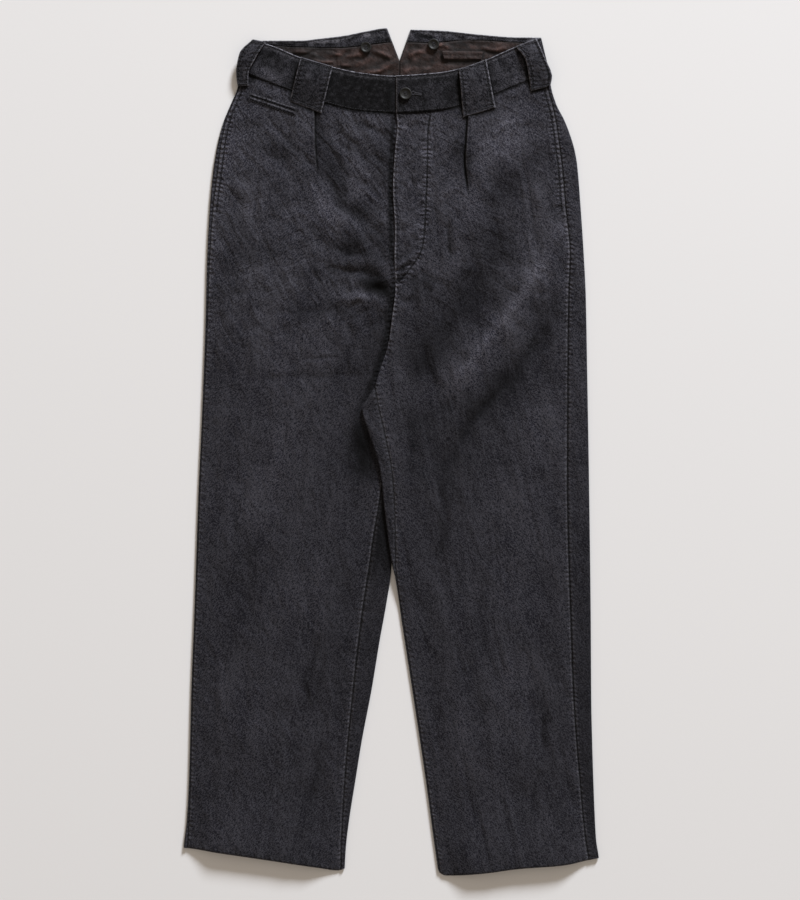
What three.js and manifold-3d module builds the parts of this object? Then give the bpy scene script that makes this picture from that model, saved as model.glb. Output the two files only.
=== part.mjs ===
// Wide pleated work trousers of grey cotton twill, laid flat on their back and seen from above.
// Millimetres. +Y runs to the waist, +X to the wearer's left, +Z up, and the underside lies on z = 0.
// Each cloth piece is a thin closed wall. The back panels are the underside and turn over the folds at the
// sides, and the front panels lie on them, a few millimetres higher.
import * as THREE from 'three';
import { mergeVertices } from 'three/addons/utils/BufferGeometryUtils.js';
import Module from 'manifold-3d';

// Driving dimensions
const CLOTH = 1.2; // one layer of twill
const SEAM_GAP = 0.3; // between neighbouring pieces
const HEM_Y = -510;
const CROTCH_Y = 81;
const WAIST_Y = 422; // waist seam at the centre front
const TOP_HEIGHT = 5.0; // upper face of the front panels
const OUTER_FOLD_HEIGHT = 4.0; // leg height at the side fold
const INNER_FOLD_HEIGHT = 3.4; // leg height at the inner fold
const LEG_LIFT = 3.75; // how far the left leg rises to lie over the right one at the crotch
const FLY_RAISE = 1.6; // how far the left front stands above the right one at the fly
const FLY_UNDERLAP = 12;
const FLY_BOTTOM_Y = 210;
const BAND_CLOTH = 2.2; // the doubled cloth of the waistband
const BAND_SEAT = 3.3; // underside of the front band
const BAND_LAP = 2.5; // how far the left band rises over the right one's underlap
const BAND_UNDERLAP_X = 36;
const BAND_CORNER = 9; // the band comes down to the back band within this distance of the side fold
const LINING_SEAT = 1.5;
const LINING_CLOTH = 1.3;
const FACING_CLOTH = 1.1;
const LINING_TUCK = 22; // how far the lining runs on below the front band's top edge
const LOOP_CLOTH = 2.0;
const LOOP_SEAT = 5.9; // underside of a belt loop where it is sewn down
const LOOP_BOW = 4.7; // how far a loop bows up between its sewn ends
const NOTCH_Y = 488.4; // foot of the V notch in the centre back
const BACK_TIP_Y = 529;
const BUTTON_THICKNESS = 2.8;
const BUTTON_HOLE = 0.8; // radius
const BUTTON_HOLE_SPREAD = 1.45; // from the centre, along X and Y

const LEFT = 1;
const RIGHT = -1;

// Side folds and side seams, seen from above
const RIGHT_SIDE = [
  { y: -529, fold: -261.1, seam: -256.0 },
  { y: -494, fold: -259.2, seam: -254.4 },
  { y: -460, fold: -255.3, seam: -252.4 },
  { y: -410, fold: -252.6, seam: -250.6 },
  { y: -298, fold: -249.7, seam: -248.0 },
  { y: -185, fold: -245.3, seam: -243.7 },
  { y: -60, fold: -241.1, seam: -239.5 },
  { y: 52, fold: -236.1, seam: -234.3 },
  { y: 165, fold: -231.9, seam: -229.6 },
  { y: 233, fold: -230.3, seam: -227.4 },
  { y: 302, fold: -226.9, seam: -222.8 },
  { y: 352, fold: -222.2, seam: -216.8 },
  { y: 377, fold: -218.2, seam: -213.7 },
  { y: 396, fold: -214.1, seam: -210.6 },
  { y: 415, fold: -208.4, seam: -205.8 },
  { y: 433, fold: -200.8, seam: -198.8 },
  { y: 456, fold: -191.6, seam: -189.8 },
  { y: 475, fold: -188.6, seam: -186.8 },
];
const LEFT_SIDE = [
  { y: -529, fold: 261.1, seam: 248.4 },
  { y: -506, fold: 259.1, seam: 245.9 },
  { y: -485, fold: 255.9, seam: 242.6 },
  { y: -460, fold: 254.4, seam: 239.7 },
  { y: -410, fold: 252.4, seam: 235.4 },
  { y: -360, fold: 250.9, seam: 230.9 },
  { y: -310, fold: 249.8, seam: 227.6 },
  { y: -210, fold: 249.2, seam: 223.8 },
  { y: -48, fold: 247.2, seam: 219.7 },
  { y: 102, fold: 244.7, seam: 220.1 },
  { y: 196, fold: 242.9, seam: 221.3 },
  { y: 246, fold: 240.4, seam: 223.4 },
  { y: 308, fold: 236.3, seam: 217.4 },
  { y: 358, fold: 232.2, seam: 213.2 },
  { y: 377, fold: 228.9, seam: 210.6 },
  { y: 396, fold: 223.2, seam: 208.2 },
  { y: 415, fold: 215.7, seam: 205.2 },
  { y: 433, fold: 206.4, seam: 200.9 },
  { y: 455, fold: 199.7, seam: 195.3 },
  { y: 474, fold: 197.2, seam: 192.2 },
];

// Inner folds and inseams, up to the crotch. Near the crotch the left leg lies over the right one.
const RIGHT_INNER = [
  { y: -529, fold: -58.6, seam: -63.2 },
  { y: -494, fold: -56.6, seam: -62.6 },
  { y: -460, fold: -52.6, seam: -61.2 },
  { y: -410, fold: -44.7, seam: -58.2 },
  { y: -360, fold: -36.6, seam: -54.1 },
  { y: -298, fold: -24.7, seam: -47.8 },
  { y: -235, fold: -14.3, seam: -40.9 },
  { y: -185, fold: -5.3, seam: -34.3 },
  { y: -148, fold: 0.0, seam: -28.4 },
  { y: -110, fold: 1.6, seam: -23.1 },
  { y: -60, fold: -0.3, seam: -14.7 },
  { y: -23, fold: -3.4, seam: -9.8 },
  { y: 15, fold: -5.9, seam: -10.3 },
  { y: 52, fold: -12.8, seam: -16.6 },
  { y: 81, fold: -20.3, seam: -20.3 },
];
const LEFT_INNER = [
  { y: -529, fold: 59.4, seam: 61.3 },
  { y: -485, fold: 53.2, seam: 55.1 },
  { y: -410, fold: 43.1, seam: 44.9 },
  { y: -310, fold: 28.2, seam: 30.1 },
  { y: -210, fold: 12.8, seam: 14.7 },
  { y: -157, fold: 4.9, seam: 6.9 },
  { y: -142, fold: 1.3, seam: 5.4 },
  { y: -117, fold: -2.8, seam: 5.2 },
  { y: -73, fold: -8.4, seam: 4.2 },
  { y: -23, fold: -14.1, seam: 0.4 },
  { y: 8, fold: -22.8, seam: -5.3 },
  { y: 33, fold: -31.3, seam: -10.6 },
  { y: 53, fold: -36.6, seam: -15.3 },
  { y: 67, fold: -28.7, seam: -17.9 },
  { y: 81, fold: -20.3, seam: -20.3 },
];

// Centre seams. The front one follows the fly's edge, then the rise down to the crotch.
const CENTRE_FRONT = [
  { y: 81, x: -20.3 },
  { y: 102, x: -14.1 },
  { y: 133, x: -4.1 },
  { y: 165, x: 0.7 },
  { y: 210, x: 5.4 },
  { y: 240, x: 4.1 },
  { y: 277, x: 4.7 },
  { y: 327, x: 2.2 },
  { y: 377, x: 4.7 },
  { y: 408, x: 7.8 },
  { y: 422, x: 5.9 },
];
const CENTRE_BACK = [
  { y: 81, x: -20.3 },
  { y: 102, x: -12.8 },
  { y: 133, x: -2.4 },
  { y: 200, x: 6.5 },
  { y: 490, x: 10.3 },
];

// The hems
const RIGHT_HEM = [
  { x: -262, y: -494.0 },
  { x: -237, y: -496.6 },
  { x: -189, y: -503.4 },
  { x: -139, y: -510.9 },
  { x: -92, y: -518.4 },
  { x: -67, y: -522.8 },
  { x: -58, y: -520.3 },
];
const LEFT_HEM = [
  { x: 57, y: -518.0 },
  { x: 61, y: -526.0 },
  { x: 68, y: -529.0 },
  { x: 111, y: -525.3 },
  { x: 161, y: -519.0 },
  { x: 211, y: -515.3 },
  { x: 246, y: -509.7 },
  { x: 262, y: -506.6 },
];

// The waistband's lower edge, on the waist seam, and the point of its top edge above each place
const WAIST = [
  { x: -191, y: 475.5, topX: -174, topY: 513.6 },
  { x: -166.6, y: 465.9, topX: -149, topY: 506.8 },
  { x: -127.8, y: 450.9, topX: -113, topY: 492.0 },
  { x: -79.1, y: 433.4, topX: -72, topY: 480.0 },
  { x: -39.1, y: 424.7, topX: -34, topY: 472.4 },
  { x: 5.9, y: 422.2, topX: 5.9, topY: 469.1 },
  { x: 60.9, y: 425.9, topX: 56, topY: 472.8 },
  { x: 104.7, y: 436.6, topX: 98, topY: 481.6 },
  { x: 163.4, y: 459.7, topX: 155, topY: 505.3 },
  { x: 198.0, y: 474.0, topX: 187.5, topY: 517.4 },
];

// The top edge of the back, and the lower edge of the facing turned in along it
const BACK_TOP = [
  { x: -190, y: 513.4 },
  { x: -114, y: 513.4 },
  { x: -89, y: 515.9 },
  { x: -58, y: 519.7 },
  { x: -33, y: 524.7 },
  { x: -5.3, y: 529.0 },
  { x: 24.7, y: 527.2 },
  { x: 61, y: 525.9 },
  { x: 111, y: 520.9 },
  { x: 161, y: 517.4 },
  { x: 200, y: 517.4 },
];
const FACING_LOW = [
  { x: -165, y: 509.6 },
  { x: -127, y: 505.9 },
  { x: -64, y: 504.7 },
  { x: -18, y: 509.7 },
  { x: 10, y: 512.2 },
  { x: 42, y: 510.9 },
  { x: 98, y: 514.1 },
  { x: 180, y: 510.0 },
];

// The two pleats: the fold line of each, and the middle of the leg below it
const RIGHT_PLEAT = [
  { y: -510, x: -160 },
  { y: 81, x: -128 },
  { y: 250, x: -100 },
  { y: 350, x: -92.8 },
  { y: 383, x: -95.3 },
  { y: 422, x: -95.9 },
];
const LEFT_PLEAT = [
  { y: -510, x: 156 },
  { y: 81, x: 112 },
  { y: 250, x: 105 },
  { y: 321, x: 97.2 },
  { y: 367, x: 92.2 },
  { y: 383, x: 93.4 },
  { y: 422, x: 95.9 },
];
const PLEAT_RISE = 0.9;
const PLEAT_FURROW = 1.7;

// Soft folds of the fronts: a path, the half width of the fold and its height, negative for a furrow
const RIGHT_FOLDS = [
  { path: [[-84, 392], [-74, 362], [-66, 325], [-58, 300]], width: 10, height: -1.7 },
  { path: [[-106, 332], [-86, 304], [-58, 285], [-27, 262]], width: 12, height: 1.9 },
  { path: [[-87, 262], [-58, 250], [-22, 247]], width: 7, height: -1.5 },
  { path: [[-74, 241], [-44, 237], [-14, 231]], width: 6, height: 1.0 },
  { path: [[-86, 231], [-45, 225], [-10, 216]], width: 8, height: -1.7 },
  { path: [[-38, 208], [-22, 202], [-4, 198]], width: 9, height: -2.1 },
  { path: [[-72, 193], [-38, 189], [-10, 182]], width: 9, height: 1.8 },
  { path: [[-56, 417], [-30, 404], [-8, 391]], width: 6, height: -0.9 },
  { path: [[-56, 385], [-31, 371], [-10, 355]], width: 6, height: -0.9 },
  { path: [[-34, 290], [-18, 265], [-8, 238]], width: 8, height: -1.4 },
  { path: [[-154, 382], [-138, 366], [-122, 350]], width: 9, height: -0.9 },
  { path: [[-168, 91], [-102, 94], [-34, 99]], width: 7, height: -0.8 },
  { path: [[-116, 112], [-88, 117], [-60, 121]], width: 6, height: 0.8 },
  { path: [[-66, 40], [-52, 2], [-40, -40]], width: 13, height: -1.0 },
  { path: [[-83, -350], [-92, -398], [-101, -445]], width: 10, height: -0.9 },
  { path: [[-135, 300], [-140, 0], [-150, -430]], width: 60, height: 1.0 },
];
const LEFT_FOLDS = [
  {
    path: [[200, 386], [150, 340], [124, 297], [136, 252], [105, 202], [61, 140], [26, 98]],
    width: 15, height: -2.1,
  },
  { path: [[212, 284], [161, 190], [111, 127], [76, 80]], width: 14, height: 2.5 },
  {
    path: [[206, 208], [190, 152], [161, 108], [130, 71], [92, 27], [73, -10], [55, -60]],
    width: 12, height: -1.8,
  },
  { path: [[168, 392], [108, 330], [86, 260], [60, 190]], width: 17, height: 1.7 },
  { path: [[84, 74], [71, 58], [58, 43]], width: 6, height: -0.9 },
  { path: [[64, -82], [58, -110], [52, -137]], width: 6, height: -0.8 },
  { path: [[68, 294], [72, 266], [74, 238]], width: 6, height: -1.0 },
  { path: [[192, -325], [189, -350], [186, -376]], width: 7, height: -0.6 },
  { path: [[146, 60], [150, -150], [160, -430]], width: 60, height: 1.0 },
];

// The belt loops, from the sewn top end down: the left and right edge at each station
const LOOPS = [
  {
    name: 'belt_loop_side_right',
    rows: [
      { left: [-172.8, 514.2], right: [-156.6, 510.9] },
      { left: [-189.1, 495.9], right: [-169.1, 489.7] },
      { left: [-193.4, 472.0], right: [-178.1, 470.0] },
      { left: [-191.6, 455.9], right: [-178.4, 456.6] },
    ],
  },
  {
    name: 'belt_loop_front_right',
    rows: [
      { left: [-112.8, 492.2], right: [-72.8, 480.3] },
      { left: [-117.3, 474.0], right: [-77.4, 461.0] },
      { left: [-122.0, 455.6], right: [-82.2, 441.6] },
      { left: [-126.6, 437.2], right: [-87.2, 422.2] },
    ],
  },
  {
    name: 'belt_loop_front_left',
    rows: [
      { left: [84.1, 476.6], right: [118.4, 489.1] },
      { left: [86.2, 457.0], right: [122.0, 469.0] },
      { left: [87.8, 437.2], right: [126.0, 449.0] },
      { left: [89.7, 417.2], right: [130.3, 429.1] },
    ],
  },
  {
    name: 'belt_loop_side_left',
    rows: [
      { left: [154.7, 505.3], right: [180.9, 515.3] },
      { left: [167.0, 488.2], right: [190.4, 493.0] },
      { left: [171.4, 468.6], right: [200.4, 468.0] },
      { left: [174.1, 449.7], right: [198.4, 456.2] },
    ],
  },
];
const WELT = {
  topLeft: [-176.6, 448.6],
  topRight: [-117.6, 429.4],
  bottomRight: [-119.1, 418.4],
  bottomLeft: [-177.6, 439.0],
};
const WELT_CLOTH = 1.4;
const HANGER = {
  topLeft: [63.4, 500.0],
  topRight: [114.7, 499.4],
  bottomRight: [112.4, 489.6],
  bottomLeft: [66.0, 489.8],
};
const HANGER_CLOTH = 1.1;
const BUTTONS = [
  { name: 'waist_button', x: 17.8, y: 445.9, seat: BAND_SEAT + BAND_LAP + BAND_CLOTH + SEAM_GAP, radius: 7.6 },
  { name: 'brace_button_right', x: -31.6, y: 504.7, seat: LINING_SEAT + LINING_CLOTH + SEAM_GAP, radius: 6.8 },
  { name: 'brace_button_left', x: 52.8, y: 508.4, seat: LINING_SEAT + LINING_CLOTH + SEAM_GAP, radius: 7.0 },
];

// Rows of the panels from hem to waist
const LEG_ROWS = [
  { from: HEM_Y, to: -150, steps: 7 },
  { from: -150, to: 25, steps: 7 },
  { from: 25, to: 53, steps: 2 },
  { from: 53, to: CROTCH_Y, steps: 3 },
];
const HIP_ROWS = [
  { from: 225, to: 282, steps: 4 },
  { from: 282, to: WAIST_Y, steps: 9 },
];
const FRONT_ROWS = [...LEG_ROWS, { from: CROTCH_Y, to: 225, steps: 10 }, ...HIP_ROWS];
const BACK_ROWS = [...LEG_ROWS, { from: CROTCH_Y, to: 225, steps: 5 }, ...HIP_ROWS];

const twill = { color: 0x323136, roughness: 0.95, metalness: 0 };
const brownLining = { color: 0x3d3131, roughness: 0.8, metalness: 0 };
const horn = { color: 0x3c3b38, roughness: 0.45, metalness: 0 };

// Curves and blends
const { lerp, clamp } = THREE.MathUtils;

function smooth(from, to, value) {
  return THREE.MathUtils.smoothstep(value, from, to);
}

// A smooth curve through the rows of a table that never overshoots them
function curve(rows, input, output) {
  const t = rows.map((row) => row[input]);
  const v = rows.map((row) => row[output]);
  const slopes = t.slice(1).map((value, i) => (v[i + 1] - v[i]) / (value - t[i]));
  const tangents = t.map((value, i) => {
    if (i === 0) return slopes[0];
    if (i === slopes.length) return slopes[i - 1];
    if (slopes[i - 1] * slopes[i] <= 0) return 0;
    return (2 * slopes[i - 1] * slopes[i]) / (slopes[i - 1] + slopes[i]);
  });
  return (value) => {
    if (value <= t[0]) return v[0] + tangents[0] * (value - t[0]);
    const last = t.length - 1;
    if (value >= t[last]) return v[last] + tangents[last] * (value - t[last]);
    let i = 0;
    while (value > t[i + 1]) i += 1;
    const span = t[i + 1] - t[i];
    const s = (value - t[i]) / span;
    const rise = v[i + 1] - v[i];
    const bend = (tangents[i] * span - rise) * (1 - s) - (tangents[i + 1] * span - rise) * s;
    return v[i] + rise * s + s * (1 - s) * bend;
  };
}

const centreFront = curve(CENTRE_FRONT, 'y', 'x');
const centreBack = curve(CENTRE_BACK, 'y', 'x');
const waistSeam = curve(WAIST, 'x', 'y');
const bandTopX = curve(WAIST, 'x', 'topX');
const bandTopY = curve(WAIST, 'x', 'topY');
const bandTopAt = curve(WAIST, 'topX', 'topY');
const backTop = curve(BACK_TOP, 'x', 'y');
const facingLow = curve(FACING_LOW, 'x', 'y');

function makeLeg(out, side, inner, hem, pleat, pleatEnd, folds) {
  return {
    out,
    sideFold: curve(side, 'y', 'fold'),
    sideSeam: curve(side, 'y', 'seam'),
    innerFoldBelow: curve(inner, 'y', 'fold'),
    inseam: curve(inner, 'y', 'seam'),
    hem: curve(hem, 'x', 'y'),
    pleat: curve(pleat, 'y', 'x'),
    pleatEnd,
    folds: folds.map((fold) => {
      const points = fold.path.map(([x, y]) => new THREE.Vector2(x, y));
      return { ...fold, points: new THREE.SplineCurve(points).getPoints(6 * (points.length - 1)) };
    }),
    waistSide: waistSeam(side[side.length - 1].seam),
  };
}

const rightLeg = makeLeg(RIGHT, RIGHT_SIDE, RIGHT_INNER, RIGHT_HEM, RIGHT_PLEAT, 340, RIGHT_FOLDS);
const leftLeg = makeLeg(LEFT, LEFT_SIDE, LEFT_INNER, LEFT_HEM, LEFT_PLEAT, 316, LEFT_FOLDS);

// Above the crotch there is no inner fold: its line runs on past the centre, away from the panel
function innerFold(leg, y) {
  if (y <= CROTCH_Y) return leg.innerFoldBelow(y);
  return centreFront(y) - leg.out * 0.5 * (y - CROTCH_Y);
}

// How far the left leg covers the right one
function legOverlap(y) {
  return y > CROTCH_Y ? 0 : Math.max(rightLeg.innerFoldBelow(y) - leftLeg.innerFoldBelow(y), 0);
}

// The left leg's rise over the right one
function lift(leg, x, y) {
  if (leg.out === RIGHT) return 0;
  const height = LEG_LIFT * smooth(-200, -150, y) * (1 - smooth(CROTCH_Y, 130, y));
  const start = legOverlap(y) + 6;
  return height * (1 - smooth(start, start + 60, x - innerFold(leg, y)));
}

function flyRaise(leg, x, y) {
  if (leg.out === RIGHT) return 0;
  return FLY_RAISE * smooth(CROTCH_Y, 120, y) * (1 - smooth(12, 50, x - centreFront(y)));
}

// How far a round fold drops below the flat, at a distance inside its edge
function roundDrop(distance, radius) {
  const inside = Math.max(distance, 0);
  return inside >= radius ? 0 : radius - Math.sqrt(radius ** 2 - (radius - inside) ** 2);
}

function distanceToPath(points, x, y) {
  let nearest = Infinity;
  let along = 0;
  for (let i = 0; i < points.length - 1; i += 1) {
    const a = points[i];
    const b = points[i + 1];
    const dx = b.x - a.x;
    const dy = b.y - a.y;
    const s = clamp(((x - a.x) * dx + (y - a.y) * dy) / (dx * dx + dy * dy), 0, 1);
    const distance = Math.hypot(x - a.x - s * dx, y - a.y - s * dy);
    if (distance < nearest) {
      nearest = distance;
      along = (i + s) / (points.length - 1);
    }
  }
  return { nearest, along };
}

function pleatRelief(leg, x, y) {
  const strength = smooth(leg.pleatEnd, leg.pleatEnd + 45, y);
  const beside = leg.out * (x - leg.pleat(y));
  const high = PLEAT_RISE * Math.exp(-Math.max(beside, 0) / 18);
  const low = -PLEAT_FURROW * Math.exp(Math.min(beside, 0) / 10);
  return strength * lerp(low, high, smooth(-1.2, 1.2, beside));
}

// Folds and pleat of the upper layer, fading out at the seams and folds around it
function relief(leg, x, y, flat) {
  let height = pleatRelief(leg, x, y);
  for (const fold of leg.folds) {
    const { nearest, along } = distanceToPath(fold.points, x, y);
    height += fold.height * Math.exp(-((nearest / fold.width) ** 2)) * Math.sqrt(Math.sin(Math.PI * along));
  }
  const overlap = legOverlap(y);
  const besideSide = leg.out * (leg.sideFold(y) - x);
  const besideInner = leg.out * (x - innerFold(leg, y));
  const besideFly = y > CROTCH_Y ? smooth(0, 14, leg.out * (x - centreFront(y))) : 1;
  const fade = smooth(2, 26, besideSide) * smooth(2 + overlap, 22 + 1.5 * overlap, besideInner) * besideFly;
  const nearBand = smooth(2, 22, waistSeam(x) - y);
  return Math.max(height * fade * nearBand, 2 * CLOTH + 0.5 - flat);
}

// Upper and lower face of the upper layer
function upperLayer(leg, x, y) {
  const besideSide = leg.out * (leg.sideFold(y) - x);
  const besideInner = leg.out * (x - innerFold(leg, y));
  const flat =
    TOP_HEIGHT -
    (TOP_HEIGHT - OUTER_FOLD_HEIGHT) * (1 - smooth(0, 40, besideSide)) -
    (TOP_HEIGHT - INNER_FOLD_HEIGHT) * (1 - smooth(25, 75, besideInner));
  const height = flat + relief(leg, x, y, flat) + lift(leg, x, y) + flyRaise(leg, x, y);
  const sideRadius = OUTER_FOLD_HEIGHT / 2;
  const innerRadius = INNER_FOLD_HEIGHT / 2;
  const top = height - roundDrop(besideSide, sideRadius) - roundDrop(besideInner, innerRadius);
  const sideInside = roundDrop(besideSide - CLOTH, sideRadius - CLOTH);
  const innerInside = roundDrop(besideInner - CLOTH, innerRadius - CLOTH);
  const bottom = height - CLOTH - sideInside - innerInside;
  return { top, bottom };
}

// A closed wall between two grids of points with the same rows and columns
function wall(outer, inner) {
  const rows = outer.length;
  const columns = outer[0].length;
  const positions = [...outer.flat(), ...inner.flat()].flatMap((point) => [point.x, point.y, point.z]);
  const at = (layer, i, j) => layer * rows * columns + i * columns + j;
  const triangles = [];
  const quad = (a, b, c, d) => triangles.push(a, b, c, a, c, d);
  for (let i = 0; i < rows - 1; i += 1) {
    for (let j = 0; j < columns - 1; j += 1) {
      quad(at(0, i, j), at(0, i, j + 1), at(0, i + 1, j + 1), at(0, i + 1, j));
      quad(at(1, i, j), at(1, i + 1, j), at(1, i + 1, j + 1), at(1, i, j + 1));
    }
  }
  for (let j = 0; j < columns - 1; j += 1) {
    quad(at(1, 0, j), at(1, 0, j + 1), at(0, 0, j + 1), at(0, 0, j));
    quad(at(0, rows - 1, j), at(0, rows - 1, j + 1), at(1, rows - 1, j + 1), at(1, rows - 1, j));
  }
  for (let i = 0; i < rows - 1; i += 1) {
    quad(at(0, i, 0), at(0, i + 1, 0), at(1, i + 1, 0), at(1, i, 0));
    quad(at(1, i, columns - 1), at(1, i + 1, columns - 1), at(0, i + 1, columns - 1), at(0, i, columns - 1));
  }
  return facingOut(positions, triangles);
}

function facingOut(positions, triangles) {
  const point = (index) => new THREE.Vector3().fromArray(positions, 3 * index);
  let volume = 0;
  for (let i = 0; i < triangles.length; i += 3) {
    const [a, b, c] = [point(triangles[i]), point(triangles[i + 1]), point(triangles[i + 2])];
    volume += a.dot(b.cross(c));
  }
  const geometry = new THREE.BufferGeometry();
  geometry.setAttribute('position', new THREE.Float32BufferAttribute(positions, 3));
  geometry.setIndex(volume < 0 ? triangles.reverse() : triangles);
  geometry.computeVertexNormals();
  return geometry;
}

const trousers = new THREE.Group();
trousers.name = 'trousers';

function add(name, geometry, finish) {
  const mesh = new THREE.Mesh(geometry, new THREE.MeshStandardMaterial(finish));
  mesh.name = name;
  trousers.add(mesh);
}

function rowHeights(spans) {
  const heights = [spans[0].from];
  for (const { from, to, steps } of spans) {
    for (let k = 1; k <= steps; k += 1) heights.push(lerp(from, to, k / steps));
  }
  return heights;
}

// A row's own height bends to follow the hem at the bottom and the waist seam at the top
function bentRow(leg, rowY, x, waist) {
  const hemShare = 1 - smooth(HEM_Y, HEM_Y + 90, rowY);
  const waistShare = smooth(282, WAIST_Y, rowY);
  return rowY + (leg.hem(x) - HEM_Y) * hemShare + (waist(x) - WAIST_Y) * waistShare;
}

// Places of a front panel's columns across the leg: close together at the side, the pleat and the inner edge
const SIDE_INSETS = [0, 1.6, 5, 12];
const PLEAT_INSETS = [1, 4, 11];
const INNER_INSETS = [14, 6, 2, 0];

function frontColumns(leg, y) {
  const half = (leg.out * SEAM_GAP) / 2;
  const side = leg.sideSeam(y) - half;
  const underlap = leg.out === RIGHT ? FLY_UNDERLAP * smooth(FLY_BOTTOM_Y - 4, FLY_BOTTOM_Y + 26, y) : 0;
  const inner = y <= CROTCH_Y ? leg.inseam(y) + half : centreFront(y) + half + underlap;
  const middle = leg.pleat(y);
  const besideSide = SIDE_INSETS.map((inset) => side - leg.out * inset);
  const outsidePleat = PLEAT_INSETS.map((inset) => middle + leg.out * inset).reverse();
  const insidePleat = PLEAT_INSETS.map((inset) => middle - leg.out * inset);
  const besideInner = INNER_INSETS.map((inset) => inner + leg.out * inset);
  const between = (from, to) => [0.25, 0.5, 0.75].map((share) => lerp(from, to, share));
  return [
    ...besideSide,
    ...between(besideSide.at(-1), outsidePleat[0]),
    ...outsidePleat,
    ...insidePleat,
    ...between(insidePleat.at(-1), besideInner[0]),
    ...besideInner,
  ];
}

function settle(leg, rowY, waist, columnAt) {
  let y = rowY;
  let x = columnAt(y);
  for (let pass = 0; pass < 8; pass += 1) {
    y = bentRow(leg, rowY, x, waist);
    x = columnAt(y);
  }
  return { x, y };
}

function frontPanel(leg) {
  const seam = (x) => waistSeam(x) - SEAM_GAP / 2;
  const count = frontColumns(leg, 0).length;
  const outer = [];
  const inner = [];
  for (const rowY of rowHeights(FRONT_ROWS)) {
    const place = (unused, k) => settle(leg, rowY, seam, (y) => frontColumns(leg, y)[k]);
    const places = Array.from({ length: count }, place);
    outer.push(places.map(({ x, y }) => new THREE.Vector3(x, y, upperLayer(leg, x, y).top)));
    inner.push(places.map(({ x, y }) => new THREE.Vector3(x, y, upperLayer(leg, x, y).bottom)));
  }
  return wall(outer, inner);
}

// The back panel's turn round a fold, from its seam on the upper side to the floor. Places are measured
// outwards, and a place with no height of its own lies on the upper layer.
const FLAT_SHARE = 0.3; // the first two stations cover at least this share of the turn
const SEAM_STATION = 1.5; // spacing of the same stations where they lie flat beside the centre back seam

function bend(seam, fold, height, slack) {
  const radius = height / 2;
  const innerRadius = radius - CLOTH;
  const centre = fold - radius;
  const flat = Math.max(centre - seam, 0);
  const begin = Math.acos(clamp((seam - centre) / radius, 0, 1)) - slack;
  const beginInner = Math.acos(clamp((seam - centre) / innerRadius, 0, 1)) - slack;
  const length = flat + radius * (begin + Math.PI / 2);
  const cut = Math.max(flat, FLAT_SHARE * length);
  const stations = [];
  for (let k = 0; k <= 6; k += 1) {
    const run = k < 2 ? (cut * k) / 2 : lerp(cut, length, (k - 2) / 4);
    if (run < flat) {
      stations.push({ outer: seam + run, inner: seam + run });
    } else {
      const share = (run - flat) / (length - flat);
      const angle = lerp(begin, -Math.PI / 2, share);
      const innerAngle = lerp(beginInner, -Math.PI / 2, share);
      stations.push({
        outer: centre + radius * Math.cos(angle),
        outerZ: radius + radius * Math.sin(angle),
        inner: centre + innerRadius * Math.cos(innerAngle),
        innerZ: radius + innerRadius * Math.sin(innerAngle),
      });
    }
  }
  return stations;
}

// Inner edge of a back panel: a turn up to the inseam below the crotch, and a flat seam above it
function innerTurn(leg, y) {
  const gap = SEAM_GAP / 2;
  if (y <= CROTCH_Y) {
    const slack = 0.5 * (1 - smooth(0, 15, CROTCH_Y - y));
    return bend(-leg.out * leg.inseam(y) + gap, -leg.out * innerFold(leg, y), INNER_FOLD_HEIGHT, slack);
  }
  const edge = -leg.out * centreBack(y) - gap;
  const flattening = smooth(CROTCH_Y, 125, y);
  return bend(edge, edge, INNER_FOLD_HEIGHT, 0.5).map((station, k) => ({
    outer: lerp(station.outer, edge - SEAM_STATION * k, flattening),
    outerZ: lerp(station.outerZ, 0, flattening),
    inner: lerp(station.inner, edge - SEAM_STATION * k, flattening),
    innerZ: lerp(station.innerZ, CLOTH, flattening),
  }));
}

function backColumns(leg, y) {
  const sideSeam = leg.out * leg.sideSeam(y) + SEAM_GAP / 2;
  const sideTurn = bend(sideSeam, leg.out * leg.sideFold(y), OUTER_FOLD_HEIGHT, 0);
  const turned = ({ outer, outerZ, inner, innerZ }) => ({ outer: -outer, outerZ, inner: -inner, innerZ });
  const inward = innerTurn(leg, y).map(turned);
  const from = inward[6].outer;
  const to = sideTurn[6].outer;
  const bottom = [...[12, 26, 42, 62].map((step) => from + step), lerp(from + 62, to, 0.5)].map((place) => ({
    outer: place,
    outerZ: 0,
    inner: place,
    innerZ: CLOTH,
  }));
  return [...sideTurn, ...bottom.reverse(), ...inward.reverse()];
}

function backPanel(leg) {
  const seam = () => leg.waistSide;
  const count = backColumns(leg, 0).length;
  const outer = [];
  const inner = [];
  for (const rowY of rowHeights(BACK_ROWS)) {
    const outerRow = [];
    const innerRow = [];
    for (let k = 0; k < count; k += 1) {
      const { y } = settle(leg, rowY, seam, (height) => leg.out * backColumns(leg, height)[k].outer);
      const station = backColumns(leg, y)[k];
      const outerX = leg.out * station.outer;
      const innerX = leg.out * station.inner;
      const onTop = station.outerZ === undefined;
      const rise = lift(leg, outerX, y);
      const outerZ = onTop ? upperLayer(leg, outerX, y).top : station.outerZ + rise;
      const innerZ = onTop ? upperLayer(leg, innerX, y).bottom : station.innerZ + rise;
      outerRow.push(new THREE.Vector3(outerX, y, outerZ));
      innerRow.push(new THREE.Vector3(innerX, y, innerZ));
    }
    outer.push(outerRow);
    inner.push(innerRow);
  }
  return wall(outer, inner);
}

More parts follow.
